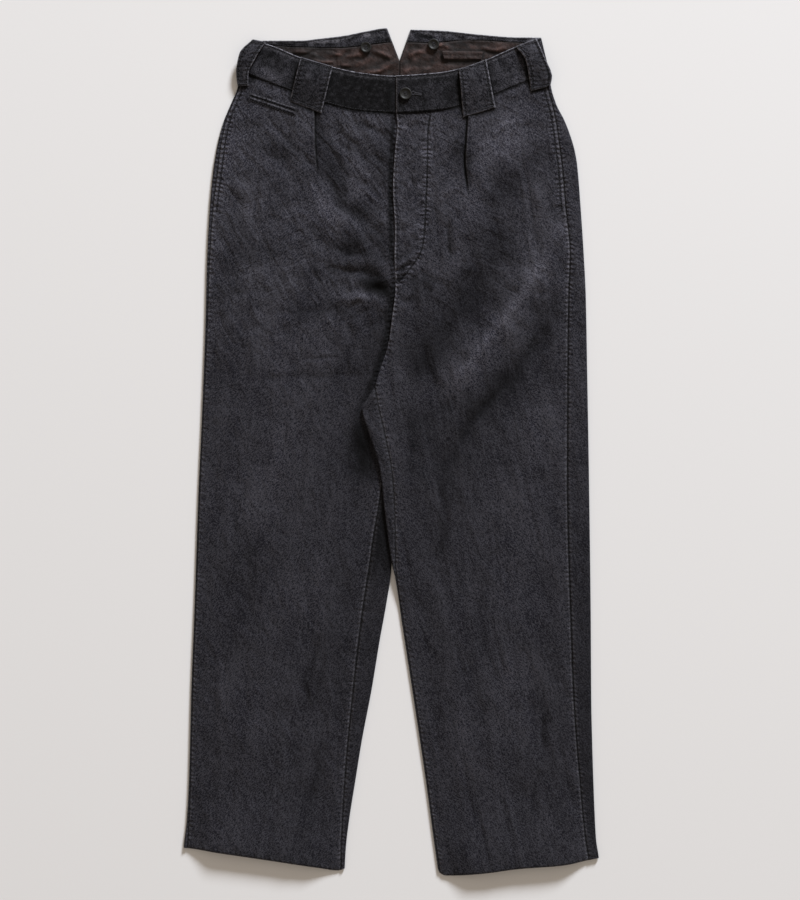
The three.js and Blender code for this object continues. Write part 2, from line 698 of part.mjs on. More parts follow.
// The front waistband, station by station along the waist seam
function frontBand(leg) {
  const seamPlaces = Array.from({ length: frontColumns(leg, 0).length }, (unused, k) =>
    settle(leg, WAIST_Y, waistSeam, (y) => frontColumns(leg, y)[k]).x);
  const sideFold = leg.sideFold(leg.waistSide);
  const inside = seamPlaces.filter((x) => leg.out * x < leg.out * sideFold - 1);
  const upTo = inside.filter((x) => leg.out === LEFT || x < centreFront(WAIST_Y) + 6);
  const stations = leg.out === LEFT ? [sideFold, ...upTo] : [sideFold, ...upTo, 20, BAND_UNDERLAP_X];
  const shares = [0, 0.05, 0.95, 1];
  const outer = shares.map(() => []);
  const inner = shares.map(() => []);
  for (const x of stations) {
    const corner = smooth(0, BAND_CORNER, leg.out * (sideFold - x));
    const lap = leg.out === LEFT ? BAND_LAP * (1 - smooth(34, 76, x)) : 0;
    const bottomZ = lerp(LINING_SEAT, BAND_SEAT, corner) + lap;
    const topZ = bottomZ + lerp(1.6, BAND_CLOTH, corner);
    shares.forEach((share, i) => {
      const rounding = share === 0 || share === 1 ? 0.5 : 0;
      const px = lerp(x, bandTopX(x), share);
      const py = lerp(waistSeam(x) + SEAM_GAP / 2, bandTopY(x), share);
      outer[i].push(new THREE.Vector3(px, py, topZ - rounding));
      inner[i].push(new THREE.Vector3(px, py, bottomZ));
    });
  }
  return wall(outer, inner);
}

// The edge of the V notch above its foot, and the centre back seam below it
function notchEdge(out, y) {
  const tip = out === LEFT ? 24.7 : -5.3;
  const foot = centreBack(NOTCH_Y) + (out * SEAM_GAP) / 2;
  if (y <= NOTCH_Y) return centreBack(y) + (out * SEAM_GAP) / 2;
  return lerp(foot, tip, (y - NOTCH_Y) / (BACK_TIP_Y - NOTCH_Y));
}

// A flat piece at the back waist between two heights, with a row at the notch's foot when it crosses it
function backPiece(out, sideX, low, top, bottomZ, thickness) {
  const reach = (share, x) => lerp(low(x), top(x), share);
  const tipX = out === LEFT ? 20 : 0;
  const footShare = clamp((NOTCH_Y - low(tipX)) / (top(tipX) - low(tipX)), 0, 0.9);
  const shares = footShare > 0 ? [0, footShare, lerp(footShare, 1, 0.5), 1] : [0, 0.5, 1];
  const columns = 10;
  const outer = [];
  const inner = [];
  for (const share of shares) {
    const outerRow = [];
    const innerRow = [];
    for (let k = 0; k <= columns; k += 1) {
      let y = reach(share, lerp(sideX(0), tipX, k / columns));
      let x = 0;
      for (let pass = 0; pass < 12; pass += 1) {
        x = lerp(sideX(y), notchEdge(out, y), k / columns);
        y = reach(share, x);
      }
      outerRow.push(new THREE.Vector3(x, y, bottomZ + thickness));
      innerRow.push(new THREE.Vector3(x, y, bottomZ));
    }
    outer.push(outerRow);
    inner.push(innerRow);
  }
  return wall(outer, inner);
}

function beltLoop(rows) {
  const edge = (key) => new THREE.SplineCurve(rows.map((row) => new THREE.Vector2(...row[key])));
  const [left, right] = [edge('left'), edge('right')];
  const outer = [];
  const inner = [];
  for (const share of [0, 0.05, 0.1, 0.15, 0.21, 0.5, 0.79, 0.85, 0.9, 0.95, 1]) {
    const a = left.getPoint(share);
    const b = right.getPoint(share);
    const bow = LOOP_BOW * smooth(0.03, 0.21, share) * (1 - smooth(0.79, 0.97, share));
    const rounding = share === 0 || share === 1 ? 0.5 : 0;
    const across = [0, 0.05, 0.5, 0.95, 1];
    const place = (s) => new THREE.Vector2().lerpVectors(a, b, s);
    inner.push(across.map((s) => new THREE.Vector3(place(s).x, place(s).y, LOOP_SEAT + bow)));
    outer.push(across.map((s) => {
      const edgeDrop = s === 0 || s === 1 ? 0.5 : 0;
      const topZ = LOOP_SEAT + bow + LOOP_CLOTH - Math.max(rounding, edgeDrop);
      return new THREE.Vector3(place(s).x, place(s).y, topZ);
    }));
  }
  return wall(outer, inner);
}

// A strip between four corners, lying on a surface
function strip(corners, columns, thickness, seatAt) {
  const corner = (key) => new THREE.Vector2(...corners[key]);
  const outer = [];
  const inner = [];
  for (const down of [0, 0.12, 0.5, 0.88, 1]) {
    const a = corner('topLeft').lerp(corner('bottomLeft'), down);
    const b = corner('topRight').lerp(corner('bottomRight'), down);
    const outerRow = [];
    const innerRow = [];
    for (let k = 0; k <= columns; k += 1) {
      const place = new THREE.Vector2().lerpVectors(a, b, k / columns);
      const rounding = down === 0 || down === 1 ? 0.4 : 0;
      const seat = seatAt(place.x, place.y);
      outerRow.push(new THREE.Vector3(place.x, place.y, seat + thickness - rounding));
      innerRow.push(new THREE.Vector3(place.x, place.y, seat));
    }
    outer.push(outerRow);
    inner.push(innerRow);
  }
  return wall(outer, inner);
}

// Boolean cuts
const wasm = await Module();
wasm.setup();

function toSolid(geometry) {
  const plain = geometry.clone();
  plain.deleteAttribute('normal');
  plain.deleteAttribute('uv');
  const merged = mergeVertices(plain, 1e-4);
  const vertProperties = new Float32Array(merged.attributes.position.array);
  const triVerts = new Uint32Array(merged.index.array);
  return new wasm.Manifold(new wasm.Mesh({ numProp: 3, vertProperties, triVerts }));
}

function toGeometry(solid) {
  const { vertProperties, triVerts } = solid.getMesh();
  const geometry = new THREE.BufferGeometry();
  geometry.setAttribute('position', new THREE.BufferAttribute(vertProperties, 3));
  geometry.setIndex(new THREE.BufferAttribute(triVerts, 1));
  geometry.computeVertexNormals();
  return geometry;
}

// A four-hole button with a raised rim
function button({ x, y, seat, radius }) {
  const profile = [
    [0, 0],
    [radius - 0.7, 0],
    [radius, 0.8],
    [radius, BUTTON_THICKNESS - 0.7],
    [radius - 0.7, BUTTON_THICKNESS],
    [radius - 1.7, BUTTON_THICKNESS],
    [radius - 2.5, BUTTON_THICKNESS - 0.9],
    [0, BUTTON_THICKNESS - 0.9],
  ].map(([r, z]) => new THREE.Vector2(r, z));
  let solid = toSolid(new THREE.LatheGeometry(profile, 20).rotateX(Math.PI / 2));
  for (const [sx, sy] of [[1, 1], [-1, 1], [-1, -1], [1, -1]]) {
    const hole = new THREE.CylinderGeometry(BUTTON_HOLE, BUTTON_HOLE, 8, 6).rotateX(Math.PI / 2);
    solid = solid.subtract(toSolid(hole.translate(sx * BUTTON_HOLE_SPREAD, sy * BUTTON_HOLE_SPREAD, 1)));
  }
  return toGeometry(solid).translate(x, y, seat);
}

// The trousers
add('back_right', backPanel(rightLeg), twill);
add('back_left', backPanel(leftLeg), twill);
add('front_right', frontPanel(rightLeg), twill);
add('front_left', frontPanel(leftLeg), twill);
add('waistband_front_right', frontBand(rightLeg), twill);
add('waistband_front_left', frontBand(leftLeg), twill);

const BACK_SIDES = [
  { leg: rightLeg, suffix: 'right', foldTop: -172, mouth: -160 },
  { leg: leftLeg, suffix: 'left', foldTop: 187, mouth: 176 },
];
for (const { leg, suffix, foldTop, mouth } of BACK_SIDES) {
  const foldBottom = leg.sideFold(leg.waistSide);
  const sideEdge = (y) => lerp(foldBottom, foldTop, (y - leg.waistSide) / (backTop(foldTop) - leg.waistSide));
  const bandLow = () => leg.waistSide + SEAM_GAP;
  const liningLow = (x) => bandTopAt(x) - LINING_TUCK;
  const liningTop = (x) => facingLow(x) - SEAM_GAP;
  add(`waistband_back_${suffix}`, backPiece(leg.out, sideEdge, bandLow, backTop, 0, CLOTH), twill);
  const mouthEdge = () => mouth;
  const facing = backPiece(leg.out, mouthEdge, facingLow, backTop, LINING_SEAT, FACING_CLOTH);
  const lining = backPiece(leg.out, mouthEdge, liningLow, liningTop, LINING_SEAT, LINING_CLOTH);
  add(`back_facing_${suffix}`, facing, twill);
  add(`lining_${suffix}`, lining, brownLining);
}

for (const { name, rows } of LOOPS) add(name, beltLoop(rows), twill);
add('coin_pocket_welt', strip(WELT, 9, WELT_CLOTH, (x, y) => upperLayer(rightLeg, x, y).top + SEAM_GAP), twill);
add('hanger_loop', strip(HANGER, 6, HANGER_CLOTH, () => LINING_SEAT + LINING_CLOTH + SEAM_GAP), brownLining);
for (const spec of BUTTONS) add(spec.name, button(spec), horn);

export default trousers;
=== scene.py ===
# %% [markdown]
# # Wide work trousers, laid flat
# The trousers lie on their back on a pale floor and are seen from straight above. They are sewn from charcoal
# cotton twill, with brown lining inside the back waist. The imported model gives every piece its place, so this
# script loads it first, and then dresses each solid with cloth that has folds, seams, stitches and wear.

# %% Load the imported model
import math
import bmesh
import bpy
import numpy as np
from mathutils import Matrix, Vector, noise


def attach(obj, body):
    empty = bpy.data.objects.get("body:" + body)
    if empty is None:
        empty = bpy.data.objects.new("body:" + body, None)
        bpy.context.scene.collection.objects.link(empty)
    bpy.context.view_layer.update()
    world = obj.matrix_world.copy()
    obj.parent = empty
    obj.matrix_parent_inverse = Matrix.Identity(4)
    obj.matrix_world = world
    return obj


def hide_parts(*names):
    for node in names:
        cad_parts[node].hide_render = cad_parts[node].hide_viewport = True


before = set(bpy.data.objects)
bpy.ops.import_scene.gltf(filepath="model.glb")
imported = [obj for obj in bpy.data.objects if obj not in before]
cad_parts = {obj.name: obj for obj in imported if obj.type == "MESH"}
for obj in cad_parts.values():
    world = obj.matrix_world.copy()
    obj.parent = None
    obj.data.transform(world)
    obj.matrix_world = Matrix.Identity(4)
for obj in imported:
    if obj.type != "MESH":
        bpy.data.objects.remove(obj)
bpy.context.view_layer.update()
MM = 0.001
LEFT, RIGHT = 1, -1

# %% [markdown]
# # Camera, floor and light
# The photograph was taken from straight above through a long lens, so a long lens far away keeps the sides of
# the legs from leaning. The light falls low from beyond the waist, a little from the wearer's left: it draws
# the shallow folds of the cloth and leaves a warm shadow below the hems. The weaker light from all round is
# warm.

# %% Camera, floor and light
AIM = Vector((10.9 * MM, 2.2 * MM, 0))
VIEW_WIDTH = 1.0
LENS = 85.0
SENSOR = 36.0

camera_data = bpy.data.cameras.new("camera")
camera_data.lens = LENS
camera_data.sensor_fit = "HORIZONTAL"
camera_data.sensor_width = SENSOR
camera_data.clip_end = 50
camera = bpy.data.objects.new("camera", camera_data)
camera.location = AIM + Vector((0, 0, VIEW_WIDTH * LENS / SENSOR))
bpy.context.collection.objects.link(camera)
bpy.context.scene.camera = camera

KEY_FROM = Vector((0.42, 1.0, 0.42)).normalized()
KEY_DISTANCE = 11.0
key_data = bpy.data.lights.new("key", "AREA")
key_data.shape = "DISK"
key_data.size = 2.6
key_data.energy = 2150
key_data.color = (0.94, 0.98, 1.05)
key = bpy.data.objects.new("key", key_data)
key.location = AIM + KEY_FROM * KEY_DISTANCE
key.rotation_euler = KEY_FROM.to_track_quat("Z", "Y").to_euler()
bpy.context.collection.objects.link(key)

world = bpy.data.worlds.new("studio")
world.use_nodes = True
world.node_tree.nodes["Background"].inputs["Color"].default_value = (1.0, 0.87, 0.74, 1)
world.node_tree.nodes["Background"].inputs["Strength"].default_value = 0.42
bpy.context.scene.world = world
bpy.context.scene.view_settings.view_transform = "Standard"
print("camera height:", round(camera.location.z, 3), "m")

# %% [markdown]
# # Writing materials as sums
# A material is a net of nodes. Most of a cloth's net is arithmetic on a few patterns, so a small class wraps
# a socket, and plus, minus and times add the Math nodes. Any other node comes from one method.

# %% A socket that can be added and multiplied
class Value:
    """One output of a shader node, which Python's own operators combine with numbers and other outputs."""

    def __init__(self, finish, socket):
        self.finish = finish
        self.socket = socket

    def math(self, operation, first, second):
        return self.finish.node("ShaderNodeMath", {"operation": operation}, [first, second])

    def __add__(self, other):
        return self.math("ADD", self, other)

    def __radd__(self, other):
        return self.math("ADD", other, self)

    def __sub__(self, other):
        return self.math("SUBTRACT", self, other)

    def __rsub__(self, other):
        return self.math("SUBTRACT", other, self)

    def __mul__(self, other):
        return self.math("MULTIPLY", self, other)

    def __rmul__(self, other):
        return self.math("MULTIPLY", other, self)

    def sine(self):
        return self.math("SINE", self, 0)

    def size(self):
        return self.math("ABSOLUTE", self, 0)

    def least(self, other):
        return self.math("MINIMUM", self, other)

    def between(self, low, high):
        """0 below low, 1 above high, and smooth between them."""
        sockets = {"Value": self, "From Min": low, "From Max": high}
        return self.finish.node("ShaderNodeMapRange", {"interpolation_type": "SMOOTHSTEP"}, sockets)


class Finish:
    """A material that is being written, with one method for every kind of node."""

    def __init__(self, name, **constants):
        self.material = bpy.data.materials.new(name)
        self.material.use_nodes = True
        self.tree = self.material.node_tree
        self.shader = self.tree.nodes["Principled BSDF"]
        for socket, value in constants.items():
            self.shader.inputs[socket.replace("_", " ")].default_value = value

    def fill(self, node, sockets):
        items = sockets.items() if isinstance(sockets, dict) else enumerate(sockets)
        for name, value in items:
            if isinstance(value, Value):
                self.tree.links.new(value.socket, node.inputs[name])
            elif value is not None:
                node.inputs[name].default_value = value

    def node(self, kind, settings=None, sockets=(), output=0):
        made = self.tree.nodes.new(kind)
        for name, value in (settings or {}).items():
            setattr(made, name, value)
        self.fill(made, sockets)
        return Value(self, made.outputs[output])

    def attribute(self, name):
        return self.node("ShaderNodeAttribute", {"attribute_name": name}, output="Fac")

    def stretched(self, vector, scale, turn=0.0):
        """The same place in the pattern's own units, of which scale says how many go to a metre."""
        sockets = {"Vector": vector, "Scale": (*scale, 1.0), "Rotation": (0, 0, turn)}
        return self.node("ShaderNodeMapping", None, sockets)

    def slanted(self, vector, scale, turn):
        """The same, for a pattern whose own length runs slanted across the cloth."""
        turned = self.node("ShaderNodeMapping", None, {"Vector": vector, "Rotation": (0, 0, turn)})
        return self.stretched(turned, scale)

    def noise(self, vector, detail=2.0, roughness=0.5, distortion=0.0):
        sockets = {"Vector": vector, "Scale": 1.0}
        sockets.update({"Detail": detail, "Roughness": roughness, "Distortion": distortion})
        return self.node("ShaderNodeTexNoise", {"noise_dimensions": "2D"}, sockets)

    def blend(self, share, first, second):
        """A colour between two colours."""
        made = self.tree.nodes.new("ShaderNodeMix")
        made.data_type = "RGBA"
        self.fill(made, {0: share, 6: first, 7: second})
        return Value(self, made.outputs[2])

    def scale_colour(self, colour, amount):
        sockets = {"Vector": colour, "Scale": amount}
        return self.node("ShaderNodeVectorMath", {"operation": "SCALE"}, sockets)

    def bump(self, height, strength=1.0, distance=MM):
        sockets = {"Strength": strength, "Distance": distance, "Height": height}
        return self.node("ShaderNodeBump", None, sockets)

    def done(self, **links):
        for name, value in links.items():
            self.fill(self.shader, {name.replace("_", " "): value})
        return self.material


print("socket class ready")

# %% [markdown]
# # The twill, the lining and the thread
# The real cloth is a washed, heathered charcoal twill: pale and dark fibres, faint slubs across and along the
# grain, soft clouds of fading, and pale fibres along every edge that rubs. Each piece carries its own UV map
# in metres of cloth, and five attributes: edge is the distance to the nearest sewn edge, along is the place
# along that edge, tone makes a place lighter or darker, for fading and also as painted light and shade, rubbed
# is how far its dye has worn off, and stitch is the distance to the nearest row of topstitching. The creases
# are painted darker and the puckers lighter, as painted shade and light. The weave, the puckers beside seams
# and the small wrinkles are bump.

# %% The finishes of cloth
def grey(value, blue=1.24):
    """A grey of that brightness, with blue times as much blue."""
    return (value, value * 0.98, value * blue, 1.0)


# metres of cloth from one rib of the weave to the next, from pucker to pucker and from stitch to stitch
WEAVE, GATHER, STITCH_STEP = 0.0011, 0.0060, 0.0031


def cloth_finish(name, dark, light, worn, wrinkle=1.0, grain=1.0, pucker=1.0, mottle=1.0, deep=0.0,
                 softness=0.75, **constants):
    """Twill or lining. wrinkle, grain, pucker and mottle say how strong each of them is, deep how much darker
    the dark parts get, and softness how far apart the darkest and the palest fibre lie."""
    finish = Finish(name, **constants)
    place = finish.node("ShaderNodeUVMap", {"uv_map": "UVMap"})
    seam = finish.attribute("edge")
    along = finish.attribute("along")
    tone = finish.attribute("tone")
    rubbed = finish.attribute("rubbed")
    stitch = finish.attribute("stitch").size()
    edge = seam.least(stitch)

    # fibres across, along and slanted, flecks, and soft clouds of fading
    warp = finish.noise(finish.stretched(place, (1300, 330)), roughness=0.6)
    weft = finish.noise(finish.stretched(place, (300, 1300)), roughness=0.6)
    twill = finish.noise(finish.slanted(place, (900, 210), -0.7), roughness=0.6)
    fleck = finish.noise(finish.stretched(place, (800, 740), 0.6), roughness=0.7)
    cloud = finish.noise(finish.stretched(place, (26, 17), 0.5), detail=4.0, roughness=0.6)
    patch = finish.noise(finish.stretched(place, (110, 85), -0.5), detail=3.0, roughness=0.6)

    # the weave's ribs, the puckers beside a seam, and the sunk line of a row of stitches
    yarns = finish.node("ShaderNodeSeparateXYZ", None, [place])
    across = Value(finish, yarns.socket.node.outputs[0])
    length = Value(finish, yarns.socket.node.outputs[1])
    rib = ((across * 0.8 + length * 0.6) * (2 * math.pi / WEAVE)).sine()

    slow = finish.noise(finish.stretched(place, (24, 30)), detail=1.0)
    gather = ((along + edge * 0.15) * (2 * math.pi / GATHER) + slow * 11).sine()
    near = (1 - edge.between(0.0015, 0.0080)) * edge.between(0.0, 0.0012) * patch.between(0.25, 0.60)
    needle = (along * (2 * math.pi / STITCH_STEP)).sine().between(-0.7, 0.9)
    line = 1 - stitch.between(0.0005, 0.0014)
    lips = stitch.between(0.0009, 0.0017) * (1 - stitch.between(0.0021, 0.0036))

    # creases along the leg, and slanted ones from the hip down to the crotch
    streak = finish.noise(finish.slanted(place, (40, 8), -0.10), roughness=0.45, distortion=0.4)
    pulled = finish.noise(finish.slanted(place, (75, 20), 0.64), roughness=0.45, distortion=0.4)
    crossed = finish.noise(finish.slanted(place, (70, 24), -1.05), roughness=0.45, distortion=0.5)
    hips = length.between(0.02, 0.24)
    slit = 1 - (streak - 0.5).size().between(0.0, 0.05)
    fold = 1 - (pulled - 0.52).size().between(0.0, 0.07)
    crack = 1 - (crossed - 0.52).size().between(0.0, 0.06)
    some = patch.between(0.42, 0.60)
    cracks = crack * (1 - some) * cloud.between(0.40, 0.60) * (0.3 + hips * 0.7)
    creases = fold * some * (0.4 + hips * 0.6) + cracks
    creases = creases * 0.55 + slit * cloud.between(0.45, 0.65) * 0.4

    yarn = (warp - 0.5) * 3.4 + (weft - 0.5) * 3.4 + (twill - 0.5) * 3.6 + (fleck - 0.5) * 4.8
    heather = 0.5 + yarn * grain
    heather = heather + (cloud - 0.5) * 1.1 + (patch - 0.5) * (1.0 * mottle) + (streak - 0.5) * 0.9
    # painted shade darkens the creases, and painted light lies on the puckers' ridges and the lips beside
    # stitches
    heather = heather - creases * (0.09 * wrinkle) + gather * near * (0.30 * pucker) + lips * needle * 0.35
    heather = heather - (1 - tone.least(1.0)) * deep
    colour = finish.blend(heather.between(0.5 - softness, 0.5 + softness), dark, light)
    # tone holds fading and also painted light and shade; the sunk line of a row of stitches is painted shade
    colour = finish.scale_colour(colour, tone * (1 - line * 0.78))
    bare = finish.node("ShaderNodeCombineXYZ", None, [along, seam, 0.0])
    bare = finish.noise(finish.stretched(bare, (230, 600)), roughness=0.6)
    rub = rubbed * (bare + (fleck - 0.5) * 0.8).between(0.22, 0.72)
    colour = finish.blend(rub, colour, worn)

    # the relief, in millimetres: weave and fibres, then wrinkles, then creases and puckers
    wrinkles = finish.noise(finish.slanted(place, (100, 46), 0.35), roughness=0.45, distortion=0.25)
    crinkle = finish.noise(finish.slanted(place, (54, 30), -0.4), roughness=0.45, distortion=0.3)
    crinkle = (crinkle - 0.5).size()
    height = rib * (0.030 * grain) + (warp - 0.5) * (0.26 * grain) + (weft - 0.5) * (0.26 * grain)
    height = height + (fleck - 0.5) * (0.34 * grain) + (twill - 0.5) * (0.22 * grain)
    height = height + (wrinkles * 1.9 + crinkle * 1.8) * (wrinkle * (0.85 + hips * 0.2))
    drawn = streak * 4.4 + pulled * (hips * 2.8) + crossed * (hips * 1.9) - creases * 0.5
    height = height + drawn * wrinkle
    height = height + gather * near * ((0.36 + hips * 0.22) * pucker) - line * 0.5
    return finish.done(Base_Color=colour, Normal=finish.bump(height))


SOFT = {"Roughness": 0.92, "Sheen_Weight": 0.03, "Sheen_Roughness": 0.5, "Specular_IOR_Level": 0.12}
TWILL = cloth_finish("charcoal_twill", grey(0.0050, 1.60), grey(0.0415, 1.17), grey(0.15, 1.10), **SOFT)
BAND_TWILL = cloth_finish("charcoal_twill_band", grey(0.0036, 1.50), grey(0.036, 1.17), grey(0.24, 1.10),
                          wrinkle=0.8, grain=1.4, pucker=0.8, mottle=3.6, deep=0.40, softness=0.5, **SOFT)
BROWN, PALE_BROWN, WORN_BROWN = (0.010, 0.0056, 0.0048, 1), (0.041, 0.0225, 0.0190, 1), (0.09, 0.06, 0.055, 1)
LINING = cloth_finish("brown_lining", BROWN, PALE_BROWN, WORN_BROWN, wrinkle=0.7, grain=0.45, pucker=0.2,
                      Roughness=0.75, Sheen_Weight=0.12, Sheen_Roughness=0.4, Specular_IOR_Level=0.25)
print("cloth finishes:", TWILL.name, BAND_TWILL.name, LINING.name)

# %% [markdown]
# # Thread, horn and the floor
# The thread is two plies that wind round each other. The buttons are dark horn, whose polish has worn half
# dull. The floor is plain and pale. Small parts need little: a noise for the colour, and one for the relief.

# %% Thread, horn and floor
def thread_finish(name, dark, light):
    """Sewing thread: two plies that wind round each other."""
    finish = Finish(name, Roughness=0.7, Sheen_Weight=0.1, Specular_IOR_Level=0.3)
    place = finish.node("ShaderNodeTexCoord", output="Object")
    fibre = finish.noise(finish.stretched(place, (2600, 2600)), detail=2.0)
    ply = (finish.noise(finish.stretched(place, (600, 600)), detail=1.0) * 40).sine()
    colour = finish.blend(fibre, dark, light)
    return finish.done(Base_Color=colour, Normal=finish.bump(ply * 0.03 + fibre * 0.05))


def horn_finish(name):
    """Dark horn: olive brown clouds, a few paler streaks and a worn, half-dull polish."""
    finish = Finish(name, Specular_IOR_Level=0.28)
    place = finish.node("ShaderNodeTexCoord", output="Object")
    streak = finish.noise(finish.stretched(place, (260, 900), 0.7), detail=3.0, distortion=1.2)
    cloud = finish.noise(finish.stretched(place, (500, 500)), detail=2.0)
    scratch = finish.noise(finish.stretched(place, (1800, 5200), 0.3), detail=2.0)
    colour = finish.blend(streak.between(0.3, 0.75), (0.0024, 0.0024, 0.0022, 1), (0.014, 0.014, 0.0125, 1))
    colour = finish.scale_colour(colour, 0.75 + cloud * 0.5)
    rough = 0.42 + scratch * 0.22
    return finish.done(Base_Color=colour, Roughness=rough, Normal=finish.bump(scratch * 0.02))


def floor_finish(name):
    finish = Finish(name, Roughness=0.75, Specular_IOR_Level=0.2)
    place = finish.node("ShaderNodeTexCoord", output="Object")
    cloud = finish.noise(finish.stretched(place, (1.1, 1.1)), detail=2.0)
    tooth = finish.noise(finish.stretched(place, (700, 700)), detail=2.0)
    shade = 0.745 + (cloud - 0.5) * 0.01 + (tooth - 0.5) * 0.008
    colour = finish.scale_colour(finish.blend(cloud, (1.0, 1.0, 1.0, 1), (1.0, 0.995, 0.99, 1)), shade)
    return finish.done(Base_Color=colour, Normal=finish.bump(tooth * 0.02))


DARK_THREAD = thread_finish("dark_thread", grey(0.010), grey(0.040))
BROWN_THREAD = thread_finish("brown_thread", (0.020, 0.014, 0.012, 1), (0.070, 0.048, 0.042, 1))
HORN = horn_finish("dark_horn")
BUTTON_THREAD = thread_finish("button_thread", grey(0.012), grey(0.050))
FLOOR = floor_finish("pale_floor")

floor_mesh = bpy.data.meshes.new("floor")
shape = bmesh.new()
bmesh.ops.create_grid(shape, x_segments=1, y_segments=1, size=6)
bmesh.ops.translate(shape, verts=shape.verts, vec=(0, 0, -0.05 * MM))
shape.to_mesh(floor_mesh)
shape.free()
floor_mesh.materials.append(FLOOR)
floor = bpy.data.objects.new("floor", floor_mesh)
bpy.context.collection.objects.link(floor)
print("floor laid")

# %% [markdown]
# # Measured lines
# Every outline is a short table of points in millimetres, and a smooth curve runs through it. The same
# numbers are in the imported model, so the cloth lies on its solids. A curve that never overshoots its points
# keeps a long straight leg straight between two of them.

# %% Curves
class Curve:
    """A smooth line through the rows of a table, read by the first column."""

    def __init__(self, rows, column=1):
        table = np.array([list(row) for row in rows], float)
        self.at = table[:, 0]
        self.to = table[:, column]
        rise = np.diff(self.to) / np.diff(self.at)
        before, after = rise[:-1], rise[1:]
        agree = before * after > 0
        middle = np.where(agree, 2 * before * after / np.where(agree, before + after, 1), 0)
        self.slope = np.concatenate([rise[:1], middle, rise[-1:]])

    def __call__(self, value):
        value = np.asarray(value, float)
        i = np.clip(np.searchsorted(self.at, value, side="right") - 1, 0, len(self.at) - 2)
        span = self.at[i + 1] - self.at[i]
        share = np.clip((value - self.at[i]) / span, 0, 1)
        rise = self.to[i + 1] - self.to[i]
        bend = (self.slope[i] * span - rise) * (1 - share) - (self.slope[i + 1] * span - rise) * share
        inside = self.to[i] + rise * share + share * (1 - share) * bend
        below = np.minimum(value - self.at[0], 0) * self.slope[0]
        above = np.maximum(value - self.at[-1], 0) * self.slope[-1]
        return inside + below + above


def smooth(low, high, value):
    """0 below low, 1 above high, and smooth between them."""
    share = np.clip((value - low) / (high - low), 0, 1)
    return share * share * (3 - 2 * share)


def mix(first, second, share):
    return first + (second - first) * share


def line_at(distance, centre, width):
    """A soft line at a distance from an edge."""
    return np.exp(-(((distance - centre) / width) ** 2))


def clouds(x, y, size, seed):
    """Soft random waves between about -1 and 1. size is the length of one wave across and along."""
    flat_x, flat_y = np.ravel(x) / size[0], np.ravel(y) / size[1]
    waves = [noise.noise((a, b, seed)) for a, b in zip(flat_x, flat_y)]
    return np.reshape(np.array(waves) * 1.6, np.shape(x))


print("curve and noise helpers ready")

# %% [markdown]
# # The outline's points
# Each row gives a place up the leg, and where the fold, the seam or the hem lies there. They were measured on
# the photograph, at 1.25 mm for each of its pixels, from the middle of the trousers.

# %% The outline
CLOTH = 1.2
HEM_Y, CROTCH_Y, WAIST_Y = -510, 81, 422
TOP_HEIGHT, OUTER_FOLD_HEIGHT, INNER_FOLD_HEIGHT = 5.0, 4.0, 3.4
LEG_LIFT, FLY_RAISE = 3.75, 1.6
FLY_UNDERLAP, FLY_BOTTOM_Y = 12, 210
NOTCH_Y, BACK_TIP_Y, RIGHT_TIP_X, LEFT_TIP_X = 488.4, 529, -5.3, 24.7

# y, side fold, side seam
RIGHT_SIDE = [
    (-529, -261.1, -256.0), (-494, -259.2, -254.4), (-460, -255.3, -252.4), (-410, -252.6, -250.6),
    (-298, -249.7, -248.0), (-185, -245.3, -243.7), (-60, -241.1, -239.5), (52, -236.1, -234.3),
    (165, -231.9, -229.6), (233, -230.3, -227.4), (302, -226.9, -222.8), (352, -222.2, -216.8),
    (377, -218.2, -213.7), (396, -214.1, -210.6), (415, -208.4, -205.8), (433, -200.8, -198.8),
    (456, -191.6, -189.8), (475, -188.6, -186.8),
]
LEFT_SIDE = [
    (-529, 261.1, 248.4), (-506, 259.1, 245.9), (-485, 255.9, 242.6), (-460, 254.4, 239.7),
    (-410, 252.4, 235.4), (-360, 250.9, 230.9), (-310, 249.8, 227.6), (-210, 249.2, 223.8),
    (-48, 247.2, 219.7), (102, 244.7, 220.1), (196, 242.9, 221.3), (246, 240.4, 223.4),
    (308, 236.3, 217.4), (358, 232.2, 213.2), (377, 228.9, 210.6), (396, 223.2, 208.2),
    (415, 215.7, 205.2), (433, 206.4, 200.9), (455, 199.7, 195.3), (474, 197.2, 192.2),
]
# y, inner fold, inseam
RIGHT_INNER = [
    (-529, -58.6, -63.2), (-494, -56.6, -62.6), (-460, -52.6, -61.2), (-410, -44.7, -58.2),
    (-360, -36.6, -54.1), (-298, -24.7, -47.8), (-235, -14.3, -40.9), (-185, -5.3, -34.3),
    (-148, 0.0, -28.4), (-110, 1.6, -23.1), (-60, -0.3, -14.7), (-23, -3.4, -9.8),
    (15, -5.9, -10.3), (52, -12.8, -16.6), (81, -20.3, -20.3),
]
LEFT_INNER = [
    (-529, 59.4, 61.3), (-485, 53.2, 55.1), (-410, 43.1, 44.9), (-310, 28.2, 30.1),
    (-210, 12.8, 14.7), (-157, 4.9, 6.9), (-142, 1.3, 5.4), (-117, -2.8, 5.2),
    (-73, -8.4, 4.2), (-23, -14.1, 0.4), (8, -22.8, -5.3), (33, -31.3, -10.6),
    (53, -36.6, -15.3), (67, -28.7, -17.9), (81, -20.3, -20.3),
]
CENTRE_FRONT = [
    (81, -20.3), (102, -14.1), (133, -4.1), (165, 0.7), (210, 5.4), (240, 4.1), (277, 4.7), (327, 2.2),
    (377, 4.7), (408, 7.8), (422, 5.9),
]
CENTRE_BACK = [(81, -20.3), (102, -12.8), (133, -2.4), (200, 6.5), (490, 10.3)]
RIGHT_HEM = [(-262, -494.0), (-237, -496.6), (-189, -503.4), (-139, -510.9), (-92, -518.4), (-67, -522.8),
             (-58, -520.3)]
LEFT_HEM = [(57, -518.0), (61, -526.0), (68, -529.0), (111, -525.3), (161, -519.0), (211, -515.3),
            (246, -509.7), (262, -506.6)]
